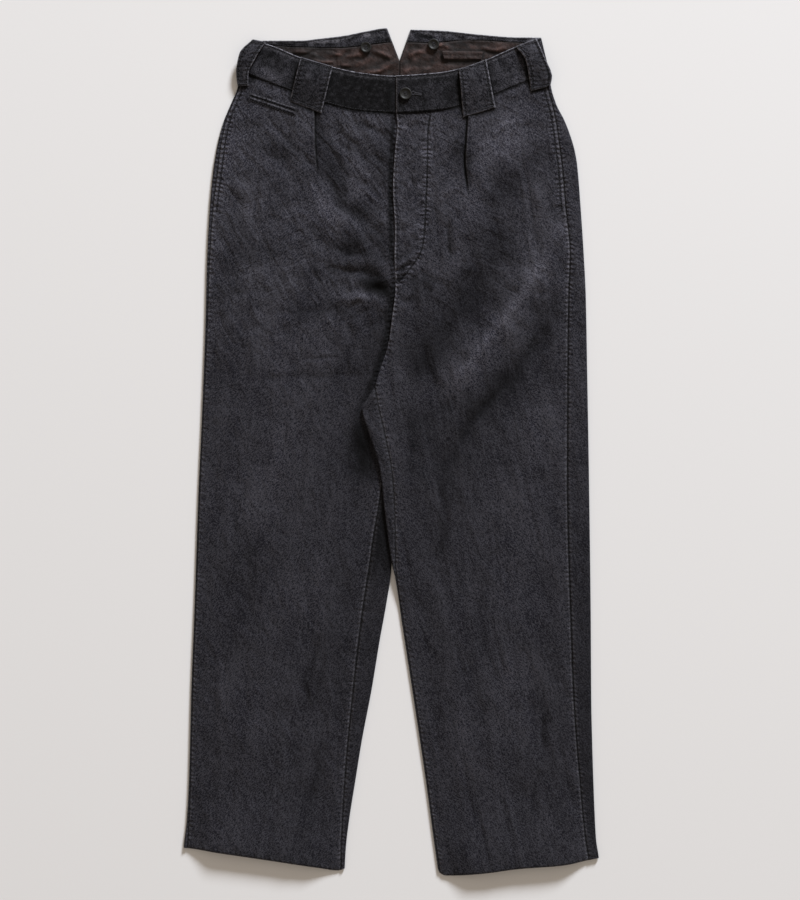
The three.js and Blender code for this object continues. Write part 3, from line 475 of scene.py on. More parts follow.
# x and y on the waist seam, and x and y of the band's top edge above it
WAIST = [
    (-191, 475.5, -174, 513.6), (-166.6, 465.9, -149, 506.8), (-127.8, 450.9, -113, 492.0),
    (-79.1, 433.4, -72, 480.0), (-39.1, 424.7, -34, 472.4), (5.9, 422.2, 5.9, 469.1),
    (60.9, 425.9, 56, 472.8), (104.7, 436.6, 98, 481.6), (163.4, 459.7, 155, 505.3),
    (198.0, 474.0, 187.5, 517.4),
]
BACK_TOP = [(-190, 513.4), (-114, 513.4), (-89, 515.9), (-58, 519.7), (-33, 524.7), (-5.3, 529.0),
            (24.7, 527.2), (61, 525.9), (111, 520.9), (161, 517.4), (200, 517.4)]
FACING_LOW = [(-165, 509.6), (-127, 505.9), (-64, 504.7), (-18, 509.7), (10, 512.2), (42, 510.9),
              (98, 514.1), (180, 510.0)]
RIGHT_PLEAT = [(-510, -160), (81, -128), (250, -100), (350, -92.8), (383, -95.3), (422, -95.9)]
LEFT_PLEAT = [(-510, 156), (81, 112), (250, 105), (321, 97.2), (367, 92.2), (383, 93.4), (422, 95.9)]

centre_front = Curve(CENTRE_FRONT)
centre_back = Curve(CENTRE_BACK)
waist_seam = Curve(WAIST)
band_top_x = Curve(WAIST, 2)
band_top_y = Curve(WAIST, 3)
band_top_at = Curve([row[2:] for row in WAIST])
back_top = Curve(BACK_TOP)
facing_low = Curve(FACING_LOW)
print("waist seam at the centre:", float(waist_seam(5.9)))

# %% [markdown]
# # Folds
# The big soft folds run from the waist and the hips to the crotch, as they do on trousers that were worn and
# washed. Each row below is one stroke: its half width, its height, which is negative for a furrow, and then
# the x and y of the points of its path. They were placed one by one from the photograph. The finer creases
# lie on top of them, narrow and low.

# %% Folds and creases, in millimetres
RIGHT_FOLDS = [
    (10, -1.7, -84, 392, -74, 362, -66, 325, -58, 300), (12, 1.9, -106, 332, -86, 304, -58, 285, -27, 262),
    (7, -1.5, -87, 262, -58, 250, -22, 247), (6, 1.0, -74, 241, -44, 237, -14, 231),
    (8, -1.7, -86, 231, -45, 225, -10, 216), (9, -2.1, -38, 208, -22, 202, -4, 198),
    (9, 1.8, -72, 193, -38, 189, -10, 182), (6, -0.9, -56, 417, -30, 404, -8, 391),
    (6, -0.9, -56, 385, -31, 371, -10, 355), (8, -1.4, -34, 290, -18, 265, -8, 238),
    (9, -0.9, -154, 382, -138, 366, -122, 350), (7, -0.8, -168, 91, -102, 94, -34, 99),
    (6, 0.8, -116, 112, -88, 117, -60, 121), (13, -1.0, -66, 40, -52, 2, -40, -40),
    (10, -0.9, -83, -350, -92, -398, -101, -445), (60, 1.0, -135, 300, -140, 0, -150, -430),
]
RIGHT_CREASES = [
    (8, -0.8, -64, 308, -45, 295, -27, 277), (3, -0.7, -87, 260, -64, 251, -45, 246, -24, 248),
    (3.5, -0.7, -83, 230, -45, 225, -8, 217), (4, -0.9, -29, 205, -14, 202, 1, 200),
    (3.5, 0.4, -64, 192, -33, 192, -8, 192), (3, -0.5, -52, 415, -27, 403, -2, 393),
    (3, -0.5, -52, 383, -29, 371, -8, 358), (3.5, -0.6, -27, 283, -12, 265, 1, 242),
    (4, -0.7, -134, 393, -127, 386, -119, 377), (4, -0.6, -152, 377, -142, 368, -132, 361),
    (4, -0.6, -114, 367, -104, 361, -94, 356), (2, -0.7, -114, 113, -89, 117, -62, 120),
    (3, -0.2, -162, 92, -102, 93, -27, 97), (2.5, -0.5, -167, 158, -157, 148, -145, 140),
    (7, -0.6, -58, 33, -39, 2, -20, -35), (5, -0.5, -83, -360, -92, -398, -99, -435),
    (2.2, -0.5, -182, -460, -185, -473, -188, -485), (2.2, -0.5, -133, -310, -132, -323, -130, -335),
    (1.8, 0.5, -177, -338, -162, -344, -149, -350), (8, -0.6, -205, 330, -190, 300, -182, 262),
    (9, 0.5, -150, 40, -140, 5, -146, -40), (10, -0.5, -190, -90, -176, -150, -180, -220),
    (9, 0.5, -96, -120, -88, -170, -92, -230), (3.6, -0.6, -77, 408, -52, 390, -17, 367),
    (3.4, -0.5, -70, 390, -39, 367, -8, 346), (3.6, -0.5, -58, 358, -33, 333, -4, 308),
    (3.4, 0.5, -52, 340, -24, 315, 1, 275), (4.5, -0.7, -83, 346, -70, 327, -66, 306, -50, 299),
    (3, -0.6, -64, 167, -52, 180, -37, 190), (3, -0.55, -49, 162, -32, 175, -14, 183),
    (3, -0.6, -32, 152, -17, 162, -7, 175), (5, -0.45, -177, 183, -133, 175, -77, 177, -52, 182),
    (3.2, -0.4, -158, 296, -127, 280, -102, 265), (3.2, 0.45, -129, 308, -99, 287, -70, 271),
    (3, -0.5, -114, 340, -112, 328, -109, 315), (2.6, -0.45, -103, 346, -105, 334, -107, 321),
    (4, -0.55, -193, -60, -195, -85, -194, -112), (3.4, -0.5, -127, -67, -134, -88, -139, -110),
    (3.2, -0.45, -162, -110, -174, -126, -183, -142), (2.4, 0.6, -158, -185, -157, -204, -157, -223),
    (4, -0.6, -95, -235, -107, -290, -104, -335), (3.2, -0.6, -82, -248, -92, -298, -102, -325),
    (3.2, -0.5, -135, -298, -138, -320, -139, -342), (4, -0.6, -52, 12, -55, -12, -50, -35),
    (4, -0.6, -34, 10, -36, -14, -30, -38), (4, 0.5, -215, -250, -212, -300, -216, -345),
]
LEFT_FOLDS = [
    (15, -2.1, 200, 386, 150, 340, 124, 297, 136, 252, 105, 202, 61, 140, 26, 98),
    (17, 2.2, 212, 284, 161, 190, 111, 127, 76, 80),
    (12, -1.8, 206, 208, 190, 152, 161, 108, 130, 71, 92, 27, 73, -10, 55, -60),
    (17, 1.7, 168, 392, 108, 330, 86, 260, 60, 190), (6, -0.9, 84, 74, 71, 58, 58, 43),
    (6, -0.8, 64, -82, 58, -110, 52, -137), (6, -1.0, 68, 294, 72, 266, 74, 238),
    (7, -0.6, 192, -325, 189, -350, 186, -376), (60, 1.0, 146, 60, 150, -150, 160, -430),
]
LEFT_CREASES = [
    (7, 0.6, 211, 277, 161, 190, 111, 127, 73, 77),
    (6, -0.6, 208, 202, 192, 152, 161, 108, 130, 71, 92, 27, 73, -10, 55, -60),
    (2.2, -0.5, 90, 127, 87, 116, 85, 105), (2.5, -0.6, 80, 71, 71, 58, 61, 46),
    (2.5, -0.6, 63, -85, 58, -110, 53, -133), (2.5, -0.5, 67, -42, 64, -51, 61, -60),
    (2.5, -0.6, 70, 290, 72, 265, 73, 242), (2.2, -0.5, 111, 421, 107, 408, 102, 396),
    (2.2, -0.5, 136, 433, 126, 425, 117, 415), (2.2, -0.5, 116, -310, 114, -322, 113, -333),
    (2.5, -0.5, 191, -329, 189, -350, 188, -373), (2.2, -0.5, 177, -435, 174, -445, 171, -454),
    (9, 0.5, 182, 60, 176, 20, 180, -30), (10, -0.5, 120, -120, 112, -180, 118, -240),
    (9, 0.5, 90, -280, 84, -340, 90, -400), (2.6, -0.5, 16, 408, 28, 407, 41, 412),
    (2.6, -0.6, 14, 377, 29, 371, 37, 383), (2.6, -0.45, 10, 355, 24, 357, 37, 362),
    (2.6, -0.5, 13, 296, 28, 300, 41, 309), (2.6, 0.5, 10, 270, 22, 273, 34, 281),
    (2.6, -0.7, 8, 237, 24, 248, 36, 259), (2.6, -1.1, 5, 225, 17, 231, 29, 237),
    (2.2, 0.7, 9, 230, 18, 238, 27, 247), (2.4, -1.0, 5, 212, 12, 216, 18, 222),
    (4, -0.6, 51, 327, 67, 337, 80, 347), (3.6, 0.55, 56, 315, 73, 327, 89, 333),
    (3, -0.5, 48, 296, 55, 302, 62, 310), (4, -0.55, 52, 352, 68, 359, 87, 378),
    (3.2, -0.9, 89, 384, 92, 358, 98, 326), (2.2, -0.7, 70, 284, 70, 265, 75, 241),
    (6, -0.7, 16, 207, 42, 221, 53, 206), (4, -0.6, 9, 190, 20, 189, 32, 191),
    (2.6, -0.6, 98, 128, 89, 110, 79, 99), (3, -0.7, 192, 299, 202, 303, 212, 302),
    (5, 0.6, 111, 377, 136, 402, 174, 416), (4, -0.8, 61, -35, 67, -85, 57, -137),
    (4, -0.6, 48, 15, 54, -10, 57, -36), (4, -0.55, 26, 15, 24, -10, 20, -36),
    (3, -0.5, 80, -135, 82, -154, 81, -173), (3, -0.45, 126, -98, 129, -116, 130, -136),
    (3.6, -0.55, 186, -298, 193, -335, 183, -386), (3.6, -0.5, 181, -396, 178, -416, 172, -437),
    (4, 0.5, 140, -240, 146, -275, 142, -310), (3.4, 0.4, 222, 330, 226, 300, 229, 270),
]
FLY_STITCH = [(48.4, 419.7), (45.9, 402.2), (45.3, 377.2), (44.7, 345.9), (43.4, 314.7), (42.2, 289.7),
              (40.3, 264.7), (35.9, 247.2), (27.2, 233.4), (17.2, 220.9), (7.8, 209.7)]


def along_path(path, steps=8):
    knots = np.arange(len(path), dtype=float)
    places = np.linspace(0, knots[-1], steps * (len(path) - 1) + 1)
    across = Curve(zip(knots, [point[0] for point in path]))
    up = Curve(zip(knots, [point[1] for point in path]))
    return np.stack([across(places), up(places)], axis=1)


def beside_path(line, x, y):
    """Distance to a line of points, and how far along it the nearest place is, from 0 to 1."""
    nearest = np.full(np.shape(x), 1e9)
    along = np.zeros(np.shape(x))
    for i in range(len(line) - 1):
        (ax, ay), (bx, by) = line[i], line[i + 1]
        dx, dy = bx - ax, by - ay
        share = np.clip(((x - ax) * dx + (y - ay) * dy) / (dx * dx + dy * dy), 0, 1)
        distance = np.hypot(x - ax - share * dx, y - ay - share * dy)
        closer = distance < nearest
        nearest = np.where(closer, distance, nearest)
        along = np.where(closer, (i + share) / (len(line) - 1), along)
    return nearest, along


def drifted(x, y):
    """The same places a little aside, so that no fold runs quite straight."""
    return x + 5.0 * clouds(x, y, (24, 30), 91.0), y + 5.0 * clouds(x, y, (24, 30), 93.0)


def fold_heights(folds, x, y):
    """Summed height of folds at places x, y."""
    total = np.zeros(np.shape(x))
    for width, height, *places in folds:
        line = along_path(list(zip(places[::2], places[1::2])))
        reach = 3 * width
        (low_x, low_y), (high_x, high_y) = line.min(axis=0) - reach, line.max(axis=0) + reach
        near = (x > low_x) & (x < high_x) & (y > low_y) & (y < high_y)
        if not near.any():
            continue
        distance, along = beside_path(line, x[near], y[near])
        total[near] += height * line_at(distance, 0, width) * np.sqrt(np.sin(np.pi * along).clip(0))
    return total


print("folds placed by hand:", len(RIGHT_FOLDS + RIGHT_CREASES + LEFT_FOLDS + LEFT_CREASES))

# %% [markdown]
# # The height of the cloth
# The upper layer of each leg is a low pillow. It is highest in the middle, falls to a round fold at each
# side, and carries the folds and the pleat. One function gives that height at any place, so the panels, the
# seams, the stitches and the pocket welt all lie on the same cloth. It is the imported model's own rule, and
# the visible cloth adds the finer creases, the small puckers beside the seams and slow waves.

# %% Heights of the two legs
class Leg:
    """One leg's outline, pleat and folds. out is 1 for the left leg and -1 for the right one."""

    def __init__(self, out, side, inner, hem, pleat, pleat_end, folds, creases):
        self.out = out
        self.side_fold = Curve(side, 1)
        self.side_seam = Curve(side, 2)
        self.fold_below = Curve(inner, 1)
        self.inseam = Curve(inner, 2)
        self.hem = Curve(hem)
        self.pleat = Curve(pleat)
        self.pleat_end = pleat_end
        self.folds = folds
        self.creases = creases
        self.waist_side = float(waist_seam(side[-1][2]))

    def inner_fold(self, y):
        above = centre_front(y) - self.out * 0.5 * (y - CROTCH_Y)
        return np.where(y <= CROTCH_Y, self.fold_below(y), above)


right_leg = Leg(RIGHT, RIGHT_SIDE, RIGHT_INNER, RIGHT_HEM, RIGHT_PLEAT, 340, RIGHT_FOLDS, RIGHT_CREASES)
left_leg = Leg(LEFT, LEFT_SIDE, LEFT_INNER, LEFT_HEM, LEFT_PLEAT, 316, LEFT_FOLDS, LEFT_CREASES)


def leg_overlap(y):
    covered = np.maximum(right_leg.fold_below(y) - left_leg.fold_below(y), 0)
    return np.where(y > CROTCH_Y, 0, covered)


def lift(leg, x, y):
    """How far the left leg rises to lie over the right one."""
    if leg.out == RIGHT:
        return np.zeros(np.shape(x))
    height = LEG_LIFT * smooth(-200, -150, y) * (1 - smooth(CROTCH_Y, 130, y))
    start = leg_overlap(y) + 6
    return height * (1 - smooth(start, start + 60, x - leg.inner_fold(y)))


def fly_raise(leg, x, y):
    if leg.out == RIGHT:
        return np.zeros(np.shape(x))
    return FLY_RAISE * smooth(CROTCH_Y, 120, y) * (1 - smooth(12, 50, x - centre_front(y)))


def round_drop(distance, radius):
    """How far a round fold falls at a distance inside its edge."""
    inside = np.clip(distance, 0, radius)
    return radius - np.sqrt(np.maximum(radius ** 2 - (radius - inside) ** 2, 0))


def pleat_relief(leg, x, y):
    """The pleat is a step: high on its folded side and sunk beside it."""
    strength = smooth(leg.pleat_end, leg.pleat_end + 45, y)
    beside = leg.out * (x - leg.pleat(y))
    high = 0.9 * np.exp(-np.maximum(beside, 0) / 18)
    low = -1.7 * np.exp(np.minimum(beside, 0) / 10)
    return strength * mix(low, high, smooth(-0.9, 0.9, beside))


print("the side seams meet the band at y =", round(right_leg.waist_side, 1), round(left_leg.waist_side, 1))

# %% [markdown]
# # Puckers and creases
# Sewing draws cloth together, so small puckers stand across every seam, and the seam itself lies in a groove.
# A sine wave along the seam would look like a machine's, so noise shifts each pucker and changes its size.

# %% Puckers, creases and slow waves
def gathers(distance, along, reach, period, seed):
    """Small cross puckers beside a line of sewing, one in each period, that fade over the reach."""
    slip = 1.4 * clouds(along, along * 0, (26, 1), seed)
    size = 0.65 + 0.45 * clouds(along, along * 0, (31, 1), seed + 9)
    wave = np.sin(2 * np.pi * ((along + 0.35 * distance) / period + slip))
    return wave * size * line_at(distance, 0, reach) * smooth(0, 2.0, distance)


def seam_line_relief(leg, x, y):
    """Puckers and rolled edges beside the side seam, the inseam and the front edges."""
    side = np.abs(x - leg.side_seam(y))
    inner_line = np.where(y <= CROTCH_Y, leg.inseam(y), centre_front(y))
    inner = np.abs(x - inner_line)
    total = 0.35 * gathers(side, y, 10, 14.0, 3.0 + leg.out)
    total += 0.4 * gathers(inner, y, 10, 14.0, 7.0 + leg.out)
    total -= 0.75 * line_at(side, 0, 1.3)
    total -= 0.75 * line_at(inner, 0, 1.3) * np.where(y <= CROTCH_Y, 1, leg.out == RIGHT)
    return total


def fly_relief(leg, x, y):
    """The stitched groove of the fly, and the puckers on both sides of it."""
    if leg.out == RIGHT:
        return np.zeros(np.shape(x))
    line = along_path(FLY_STITCH, 4)
    distance, along = beside_path(line, x, y)
    groove = -0.8 * line_at(distance, 0, 1.3)
    return (groove + 0.8 * gathers(distance, along * 245, 9, 11.0, 21.0)) * smooth(205, 215, y)


def fine_relief(leg, x, y):
    """The creases, and waves of three sizes, of which the smallest are drawn slanted from the waist."""
    slow = 1.0 * clouds(x, y, (85, 150), 1.0 + leg.out) + 0.6 * clouds(x, y, (38, 62), 5.0 + leg.out)
    small = (0.22 + 0.3 * smooth(60, 260, y)) * clouds(x + 0.4 * y, y - 0.3 * x, (16, 30), 9.0 + leg.out)
    pulled = clouds(0.8 * x - 0.6 * leg.out * y, 0.6 * leg.out * x + 0.8 * y, (13, 55), 95.0 + leg.out)
    pulled = pulled * smooth(40, 180, y) * (1 - smooth(60, 150, np.abs(x - 5)))
    drift = 3.0 * clouds(x, y, (16, 20), 97.0)
    return 2.0 * fold_heights(leg.creases, x + drift, y + drift) + slow + small + 0.55 * pulled


print("creases of the right and the left front:", len(RIGHT_CREASES), len(LEFT_CREASES))

# %% [markdown]
# # The upper face
# The parts of the height are added up here: the pillow, the folds, the fine relief, the sewing, the overlap
# at the crotch and at the fly, the loft of the hem, and the round drop at both folds. Near an edge the folds
# fade out, because the seam holds the cloth down.

# %% The upper face of the fronts
HEM_LOFT = 7.2


def hem_loft(leg, x, y):
    """The hem's upper layer stands open a little."""
    beside_side = leg.out * (leg.side_fold(y) - x)
    beside_inner = leg.out * (x - leg.inner_fold(y))
    open_part = smooth(4, 46, beside_side) * smooth(4, 46, beside_inner)
    return HEM_LOFT * open_part * (1 - smooth(0, 95, y - leg.hem(x)))


def front_top(leg, x, y):
    """Height of the upper face of the front cloth, in millimetres above the floor."""
    overlap = leg_overlap(y)
    beside_side = leg.out * (leg.side_fold(y) - x)
    beside_inner = leg.out * (x - leg.inner_fold(y))
    flat = TOP_HEIGHT - (TOP_HEIGHT - OUTER_FOLD_HEIGHT) * (1 - smooth(0, 40, beside_side))
    flat = flat - (TOP_HEIGHT - INNER_FOLD_HEIGHT) * (1 - smooth(25, 75, beside_inner))
    beside_fly = np.where(y > CROTCH_Y, smooth(0, 14, leg.out * (x - centre_front(y))), 1)
    fade = smooth(2, 26, beside_side) * smooth(2 + overlap, 22 + 1.5 * overlap, beside_inner) * beside_fly
    near_band = smooth(2, 22, waist_seam(x) - y)
    folds = pleat_relief(leg, x, y) + fold_heights(leg.folds, *drifted(x, y))
    folds = np.maximum(1.1 * folds * fade * near_band, 2 * CLOTH + 0.5 - flat)
    fine = fine_relief(leg, x, y) * smooth(0, 24, beside_side) * smooth(0, 24, beside_inner) * near_band
    sewn = seam_line_relief(leg, x, y) + fly_relief(leg, x, y)
    height = flat + folds + fine + sewn + lift(leg, x, y) + fly_raise(leg, x, y) + hem_loft(leg, x, y)
    height = height - round_drop(beside_side, OUTER_FOLD_HEIGHT / 2)
    return height - round_drop(beside_inner, INNER_FOLD_HEIGHT / 2)


probe = np.array([[-150.0, 150.0]])
print("cloth height over the right and left thigh:",
      front_top(right_leg, probe[:, :1], probe[:, :1] * 0).round(2).tolist(),
      front_top(left_leg, probe[:, 1:], probe[:, 1:] * 0).round(2).tolist())

# %% [markdown]
# # Light and dark cloth
# Worn twill isn't one grey. It fades on the hips and the thighs. Its furrows are painted darker and its ridges
# lighter, as painted shade and light, and painted shade lies where two folds lean together. Strokes like those
# of the folds make it lighter or darker, and they add up before the exponential, so that two dark ones never
# reach black.

# %% Strokes of tone
FADE_UP_THE_LEG = Curve([(-530, -0.20), (-400, -0.12), (-250, -0.16), (-100, -0.12), (60, 0.0), (200, 0.12),
                         (330, 0.28), (430, 0.30)])
# half width, how much lighter or darker, and the path. An amount of 0.1 is about a tenth. The strokes paint
# fading, and the painted shade and light of the folds.
PATCHES = [
    (34, 0.16, -215, 400, -200, 320, -195, 250), (13, -0.30, -160, 395, -140, 378, -118, 368),
    (9, -0.35, -90, 405, -78, 372, -66, 330, -58, 300), (16, -0.28, -70, 330, -52, 305, -30, 290),
    (11, -0.35, -86, 262, -60, 250, -36, 246), (16, -0.30, -60, 285, -38, 262, -14, 228),
    (12, 0.22, -110, 345, -84, 312, -56, 288), (20, 0.10, -60, 400, -40, 350, -30, 320),
    (26, -0.16, -70, 150, -50, 120, -34, 95), (40, 0.08, -120, 200, -130, 150, -120, 100),
    (30, -0.14, -90, 30, -60, -30, -30, -60), (22, -0.16, -60, -120, -66, -220, -90, -330),
    (30, 0.14, -200, -420, -205, -470, -205, -500), (20, -0.14, -110, -380, -104, -440, -108, -500),
    (20, -0.36, 196, 378, 150, 340, 126, 300), (32, -0.56, 128, 300, 118, 240, 92, 190, 60, 150, 30, 110),
    (3.4, -0.9, 97, 376, 97, 352, 99, 326), (8, -0.30, 92, 410, 88, 380, 84, 350),
    (46, -0.16, 60, 60, 90, 20, 110, -60), (34, -0.20, -70, 250, -40, 240, -14, 220),
    (24, -0.36, 206, 208, 190, 152, 161, 108, 130, 71, 92, 27),
    (20, 0.16, 212, 284, 165, 196, 120, 138, 84, 88), (30, 0.16, 170, 430, 150, 400, 130, 370),
    (12, 0.12, 190, 240, 200, 200, 205, 150), (12, -0.05, 28, 400, 26, 330, 24, 260),
    (16, 0.08, 60, 400, 70, 350, 66, 300), (8, -0.18, 60, 240, 76, 270, 80, 300),
    (16, -0.26, 26, 216, 40, 190, 52, 160), (20, -0.22, 40, 60, 30, 0, 24, -60),
    (30, -0.16, 90, 30, 70, -50, 60, -140), (40, 0.10, 150, -20, 160, -120, 150, -220),
    (26, 0.08, 100, -300, 108, -400, 120, -480), (18, -0.10, 200, -200, 196, -330, 206, -470),
    (22, -0.50, 66, 126, 36, 110, 12, 103), (20, -0.50, 152, 96, 111, 58, 82, 18),
    (26, -0.28, 50, 62, 36, 38, 30, 0), (20, -0.22, 152, 206, 147, 188, 140, 168),
    (14, 0.32, 104, 98, 86, 83, 68, 60), (26, 0.30, 108, 370, 136, 380, 172, 396),
    (24, -0.30, -192, 270, -177, 252, -168, 228), (7, 0.10, -72, 196, -46, 188, -14, 178),
    (14, -0.95, -46, 34, -36, 0, -30, -40), (22, -0.20, -124, 182, -112, 177, -98, 172),
    (18, 0.26, -204, 396, -203, 376, -202, 352), (42, 0.24, -177, -10, -178, -60, -177, -115),
    (36, 0.16, -124, -140, -114, -185, -110, -230), (36, 0.18, -182, -260, -177, -310, -174, -360),
    (32, 0.28, 160, -250, 161, -310, 162, -370), (30, 0.12, 98, -140, 98, -185, 100, -230),
    (22, 0.16, 200, 80, 198, 40, 198, -20), (14, -0.16, 198, 372, 198, 350, 198, 325),
    (10, -0.60, -26, 210, -14, 205, -4, 201), (12, -0.55, -34, 30, -33, -4, -30, -44),
    (12, -0.30, 34, 124, 37, 110, 40, 96), (13, -0.24, 64, 160, 68, 146, 72, 132),
    (14, -0.32, 118, 70, 110, 56, 102, 44), (14, -0.16, 150, 100, 147, 88, 142, 76),
    (12, -0.18, 38, 52, 36, 40, 34, 26), (12, -0.28, -46, 312, -39, 302, -32, 292),
    (15, 0.24, -118, 290, -114, 277, -108, 264), (12, 0.18, -204, 388, -202, 377, -200, 364),
    (13, -0.20, -206, 302, -202, 290, -199, 276), (16, 0.16, 200, -440, 198, -460, 197, -478),
    (3.4, -0.9, 5, 212, 13, 224, 24, 240), (1.8, 0.6, 7, 224, 14, 232, 22, 238),
    (8, -0.30, 24, 206, 44, 214, 56, 204), (5, -0.30, 10, 186, 24, 190, 36, 188),
]
# painted shadow in the gaps beside the fly and beside the left leg, where it lies over the right one
RIGHT_SHADE = [
    (3.0, -2.4, 4, 428, 1, 380, -1, 330, 0, 270, 2, 208), (9, -0.45, -2, 420, -6, 372, -7, 330),
    (8, -1.3, -36, 210, -16, 204, 1, 197),
    (4.4, -2.1, 5, 214, 1, 190, -3, 160, -9, 130, -18, 102, -26, 80, -36, 60),
    (8.5, -0.9, -42, 216, -14, 204, 12, 186), (5.0, -0.5, -22, 222, -12, 216, -4, 210),
    (6.0, -0.9, -34, 66, -42, 44, -36, 16, -26, -10), (13, -0.40, -5, 190, -16, 150, -28, 108, -42, 66),
]


def tone_of(leg, x, y):
    """Ridges get painted light and furrows painted shade, the strokes paint fading and shade, and the hips
    have faded more than the shins.
    """
    # shade holds the painted shadows beside the belt loops, the fly and the overlap of the legs
    shade = fold_heights(LOOP_SHADOWS, x, y) + (fold_heights(RIGHT_SHADE, x, y) if leg.out == RIGHT else 0)
    x, y = drifted(x, y)
    # the folds' own heights, painted into the colour as light on ridges and shade in furrows
    folds = 0.15 * fold_heights(leg.folds, x, y) + 0.50 * fold_heights(leg.creases, x, y)
    spots = 0.16 * clouds(x, y, (30, 24), 81.0 + leg.out) * smooth(40, 200, y)
    return np.exp(shade + folds + spots + fold_heights(PATCHES, x, y) + FADE_UP_THE_LEG(y))


print("strokes of tone:", len(PATCHES) + len(RIGHT_SHADE))

# %% [markdown]
# # Where the belt loops lie
# Each belt loop is four rows of two points, from its top end down. The cloth beside a loop lies in its
# shadow, so the same points also give the strokes of painted shadow that the fronts and the band take into
# their tone.

# %% The belt loops' points
LOOP_SEAT, LOOP_CLOTH, LOOP_BOW, LOOP_STITCH = 5.9, 2.0, 2.8, 3.4
LOOPS = {
    "belt_loop_side_right": [(-172.8, 514.2, -156.6, 510.9), (-189.1, 495.9, -169.1, 489.7),
                             (-193.4, 472.0, -178.1, 470.0), (-191.6, 455.9, -178.4, 456.6)],
    "belt_loop_front_right": [(-112.8, 492.2, -72.8, 480.3), (-117.3, 474.0, -77.4, 461.0),
                              (-122.0, 455.6, -82.2, 441.6), (-126.6, 437.2, -87.2, 422.2)],
    "belt_loop_front_left": [(84.1, 476.6, 118.4, 489.1), (86.2, 457.0, 122.0, 469.0),
                             (87.8, 437.2, 126.0, 449.0), (89.7, 417.2, 130.3, 429.1)],
    "belt_loop_side_left": [(154.7, 505.3, 180.9, 515.3), (167.0, 488.2, 190.4, 493.0),
                            (171.4, 468.6, 200.4, 468.0), (174.1, 449.7, 198.4, 456.2)],
}


def loop_point(name, across, share):
    """A place on a belt loop: across from 0 to 1, and share from its top end down."""
    knots = np.linspace(0, 1, 4)
    edges = [Curve(zip(knots, [row[k] for row in LOOPS[name]]))(share) for k in range(4)]
    return mix(edges[0], edges[2], across), mix(edges[1], edges[3], across)


def loop_shadows():
    """Strokes of painted shadow on the cloth beside both long edges of each belt loop and at its foot."""
    strokes = []
    shares = np.linspace(0.04, 1.0, 5)
    for name in LOOPS:
        for across, width, amount in ((-0.03, 2.6, -2.3), (1.02, 1.9, -1.3)):
            x, y = loop_point(name, across, shares)
            strokes.append((width, amount, *np.stack([x, y], axis=1).ravel()))
        x, y = loop_point(name, np.linspace(0.0, 1.0, 4), 1.0)
        strokes.append((2.3, -2.2, *np.stack([x, y - 0.8], axis=1).ravel()))
    strokes.append((3.4, -1.8, -175, 473, -172, 467, -174, 460))
    return strokes


LOOP_SHADOWS = loop_shadows()
print("dark gaps beside the belt loops:", len(LOOP_SHADOWS))

# %% [markdown]
# # From a flat grid to a sewn panel
# A pattern piece starts as a flat grid. Every vertex is then moved to its place on the leg, which keeps the
# rows and columns, so the UV map can hold real metres of cloth. Solidify gives the sheet its thickness,
# inwards. Rows and columns lie closer together at the edges, where the cloth rolls into a seam.

# %% A sheet helper
SHEET_WALL = 0.9
# a distance past every mark that a finish makes beside an edge
FAR = 99.0


def sheet(name, rows, columns, place, material, thickness=SHEET_WALL, turn_over=False):
    """A sheet of cloth. place(column, row) gives x, y, z, u, v, edge and along in millimetres, tone, rubbed
    and, where the sheet has topstitching, the distance to it."""
    shape = bmesh.new()
    bmesh.ops.create_grid(shape, x_segments=columns - 1, y_segments=rows - 1, size=1)
    flat = np.array([(vertex.co.x, vertex.co.y) for vertex in shape.verts])
    column = np.rint((flat[:, 0] + 1) / 2 * (columns - 1)).astype(int)
    row = np.rint((flat[:, 1] + 1) / 2 * (rows - 1)).astype(int)
    values = [np.broadcast_to(np.asarray(a, float), column.shape) for a in place(column, row)]
    x, y, z, u, v, edge, along, tone, rubbed = values[:9]
    stitch = values[9] if len(values) > 9 else np.full(column.shape, FAR)
    for vertex, co in zip(shape.verts, np.stack([x, y, z], axis=1) * MM):
        vertex.co = co
    if turn_over:
        bmesh.ops.reverse_faces(shape, faces=shape.faces)
    for face in shape.faces:
        face.smooth = True
    mesh = bpy.data.meshes.new(name)
    shape.to_mesh(mesh)
    shape.free()
    corners = np.empty(len(mesh.loops), dtype=np.int32)
    mesh.loops.foreach_get("vertex_index", corners)
    places = np.stack([u, v], axis=1) * MM
    mesh.uv_layers.new(name="UVMap").data.foreach_set("uv", places[corners].ravel())
    amounts = {"edge": edge * MM, "along": along * MM, "tone": tone, "rubbed": rubbed, "stitch": stitch * MM}
    for label, amount in amounts.items():
        layer = mesh.attributes.new(label, "FLOAT", "POINT")
        layer.data.foreach_set("value", np.ascontiguousarray(amount))
    mesh.materials.append(material)
    piece = bpy.data.objects.new(name, mesh)
    bpy.context.collection.objects.link(piece)
    wall = piece.modifiers.new("wall", "SOLIDIFY")
    wall.thickness = thickness * MM
    wall.offset = -1
    finish_piece(piece)
    area = sum(face.area for face in mesh.polygons)
    print(name, "area", round(area, 4), "m2, faces", len(mesh.polygons))
    return piece


def finish_piece(piece):
    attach(piece, "root")


EDGE_STEPS = np.array([0, 0.5, 1.1, 1.9, 3.0, 4.8, 7.4])


def spread(start, end, count):
    """Numbers from start to end, close together at both ends."""
    middle = np.linspace(start + EDGE_STEPS[-1], end - EDGE_STEPS[-1], count)
    return np.concatenate([start + EDGE_STEPS[:-1], middle, (end - EDGE_STEPS[:-1])[::-1]])


print("sheet helper ready")

# %% [markdown]
# # The fronts
# Each front is one panel from the hem to the waist seam, with one pleat. The left front laps over the right
# one at the fly. The rows bend to follow the hem at the bottom and the waist seam at the top.

# %% The two front panels
# a leg's upper face stays this far above the floor, which is more than its sheet is thick
LOWEST_UPPER = 1.4
POCKET_STITCH = 5.2
FRONT_ROWS = spread(HEM_Y, WAIST_Y, 430)


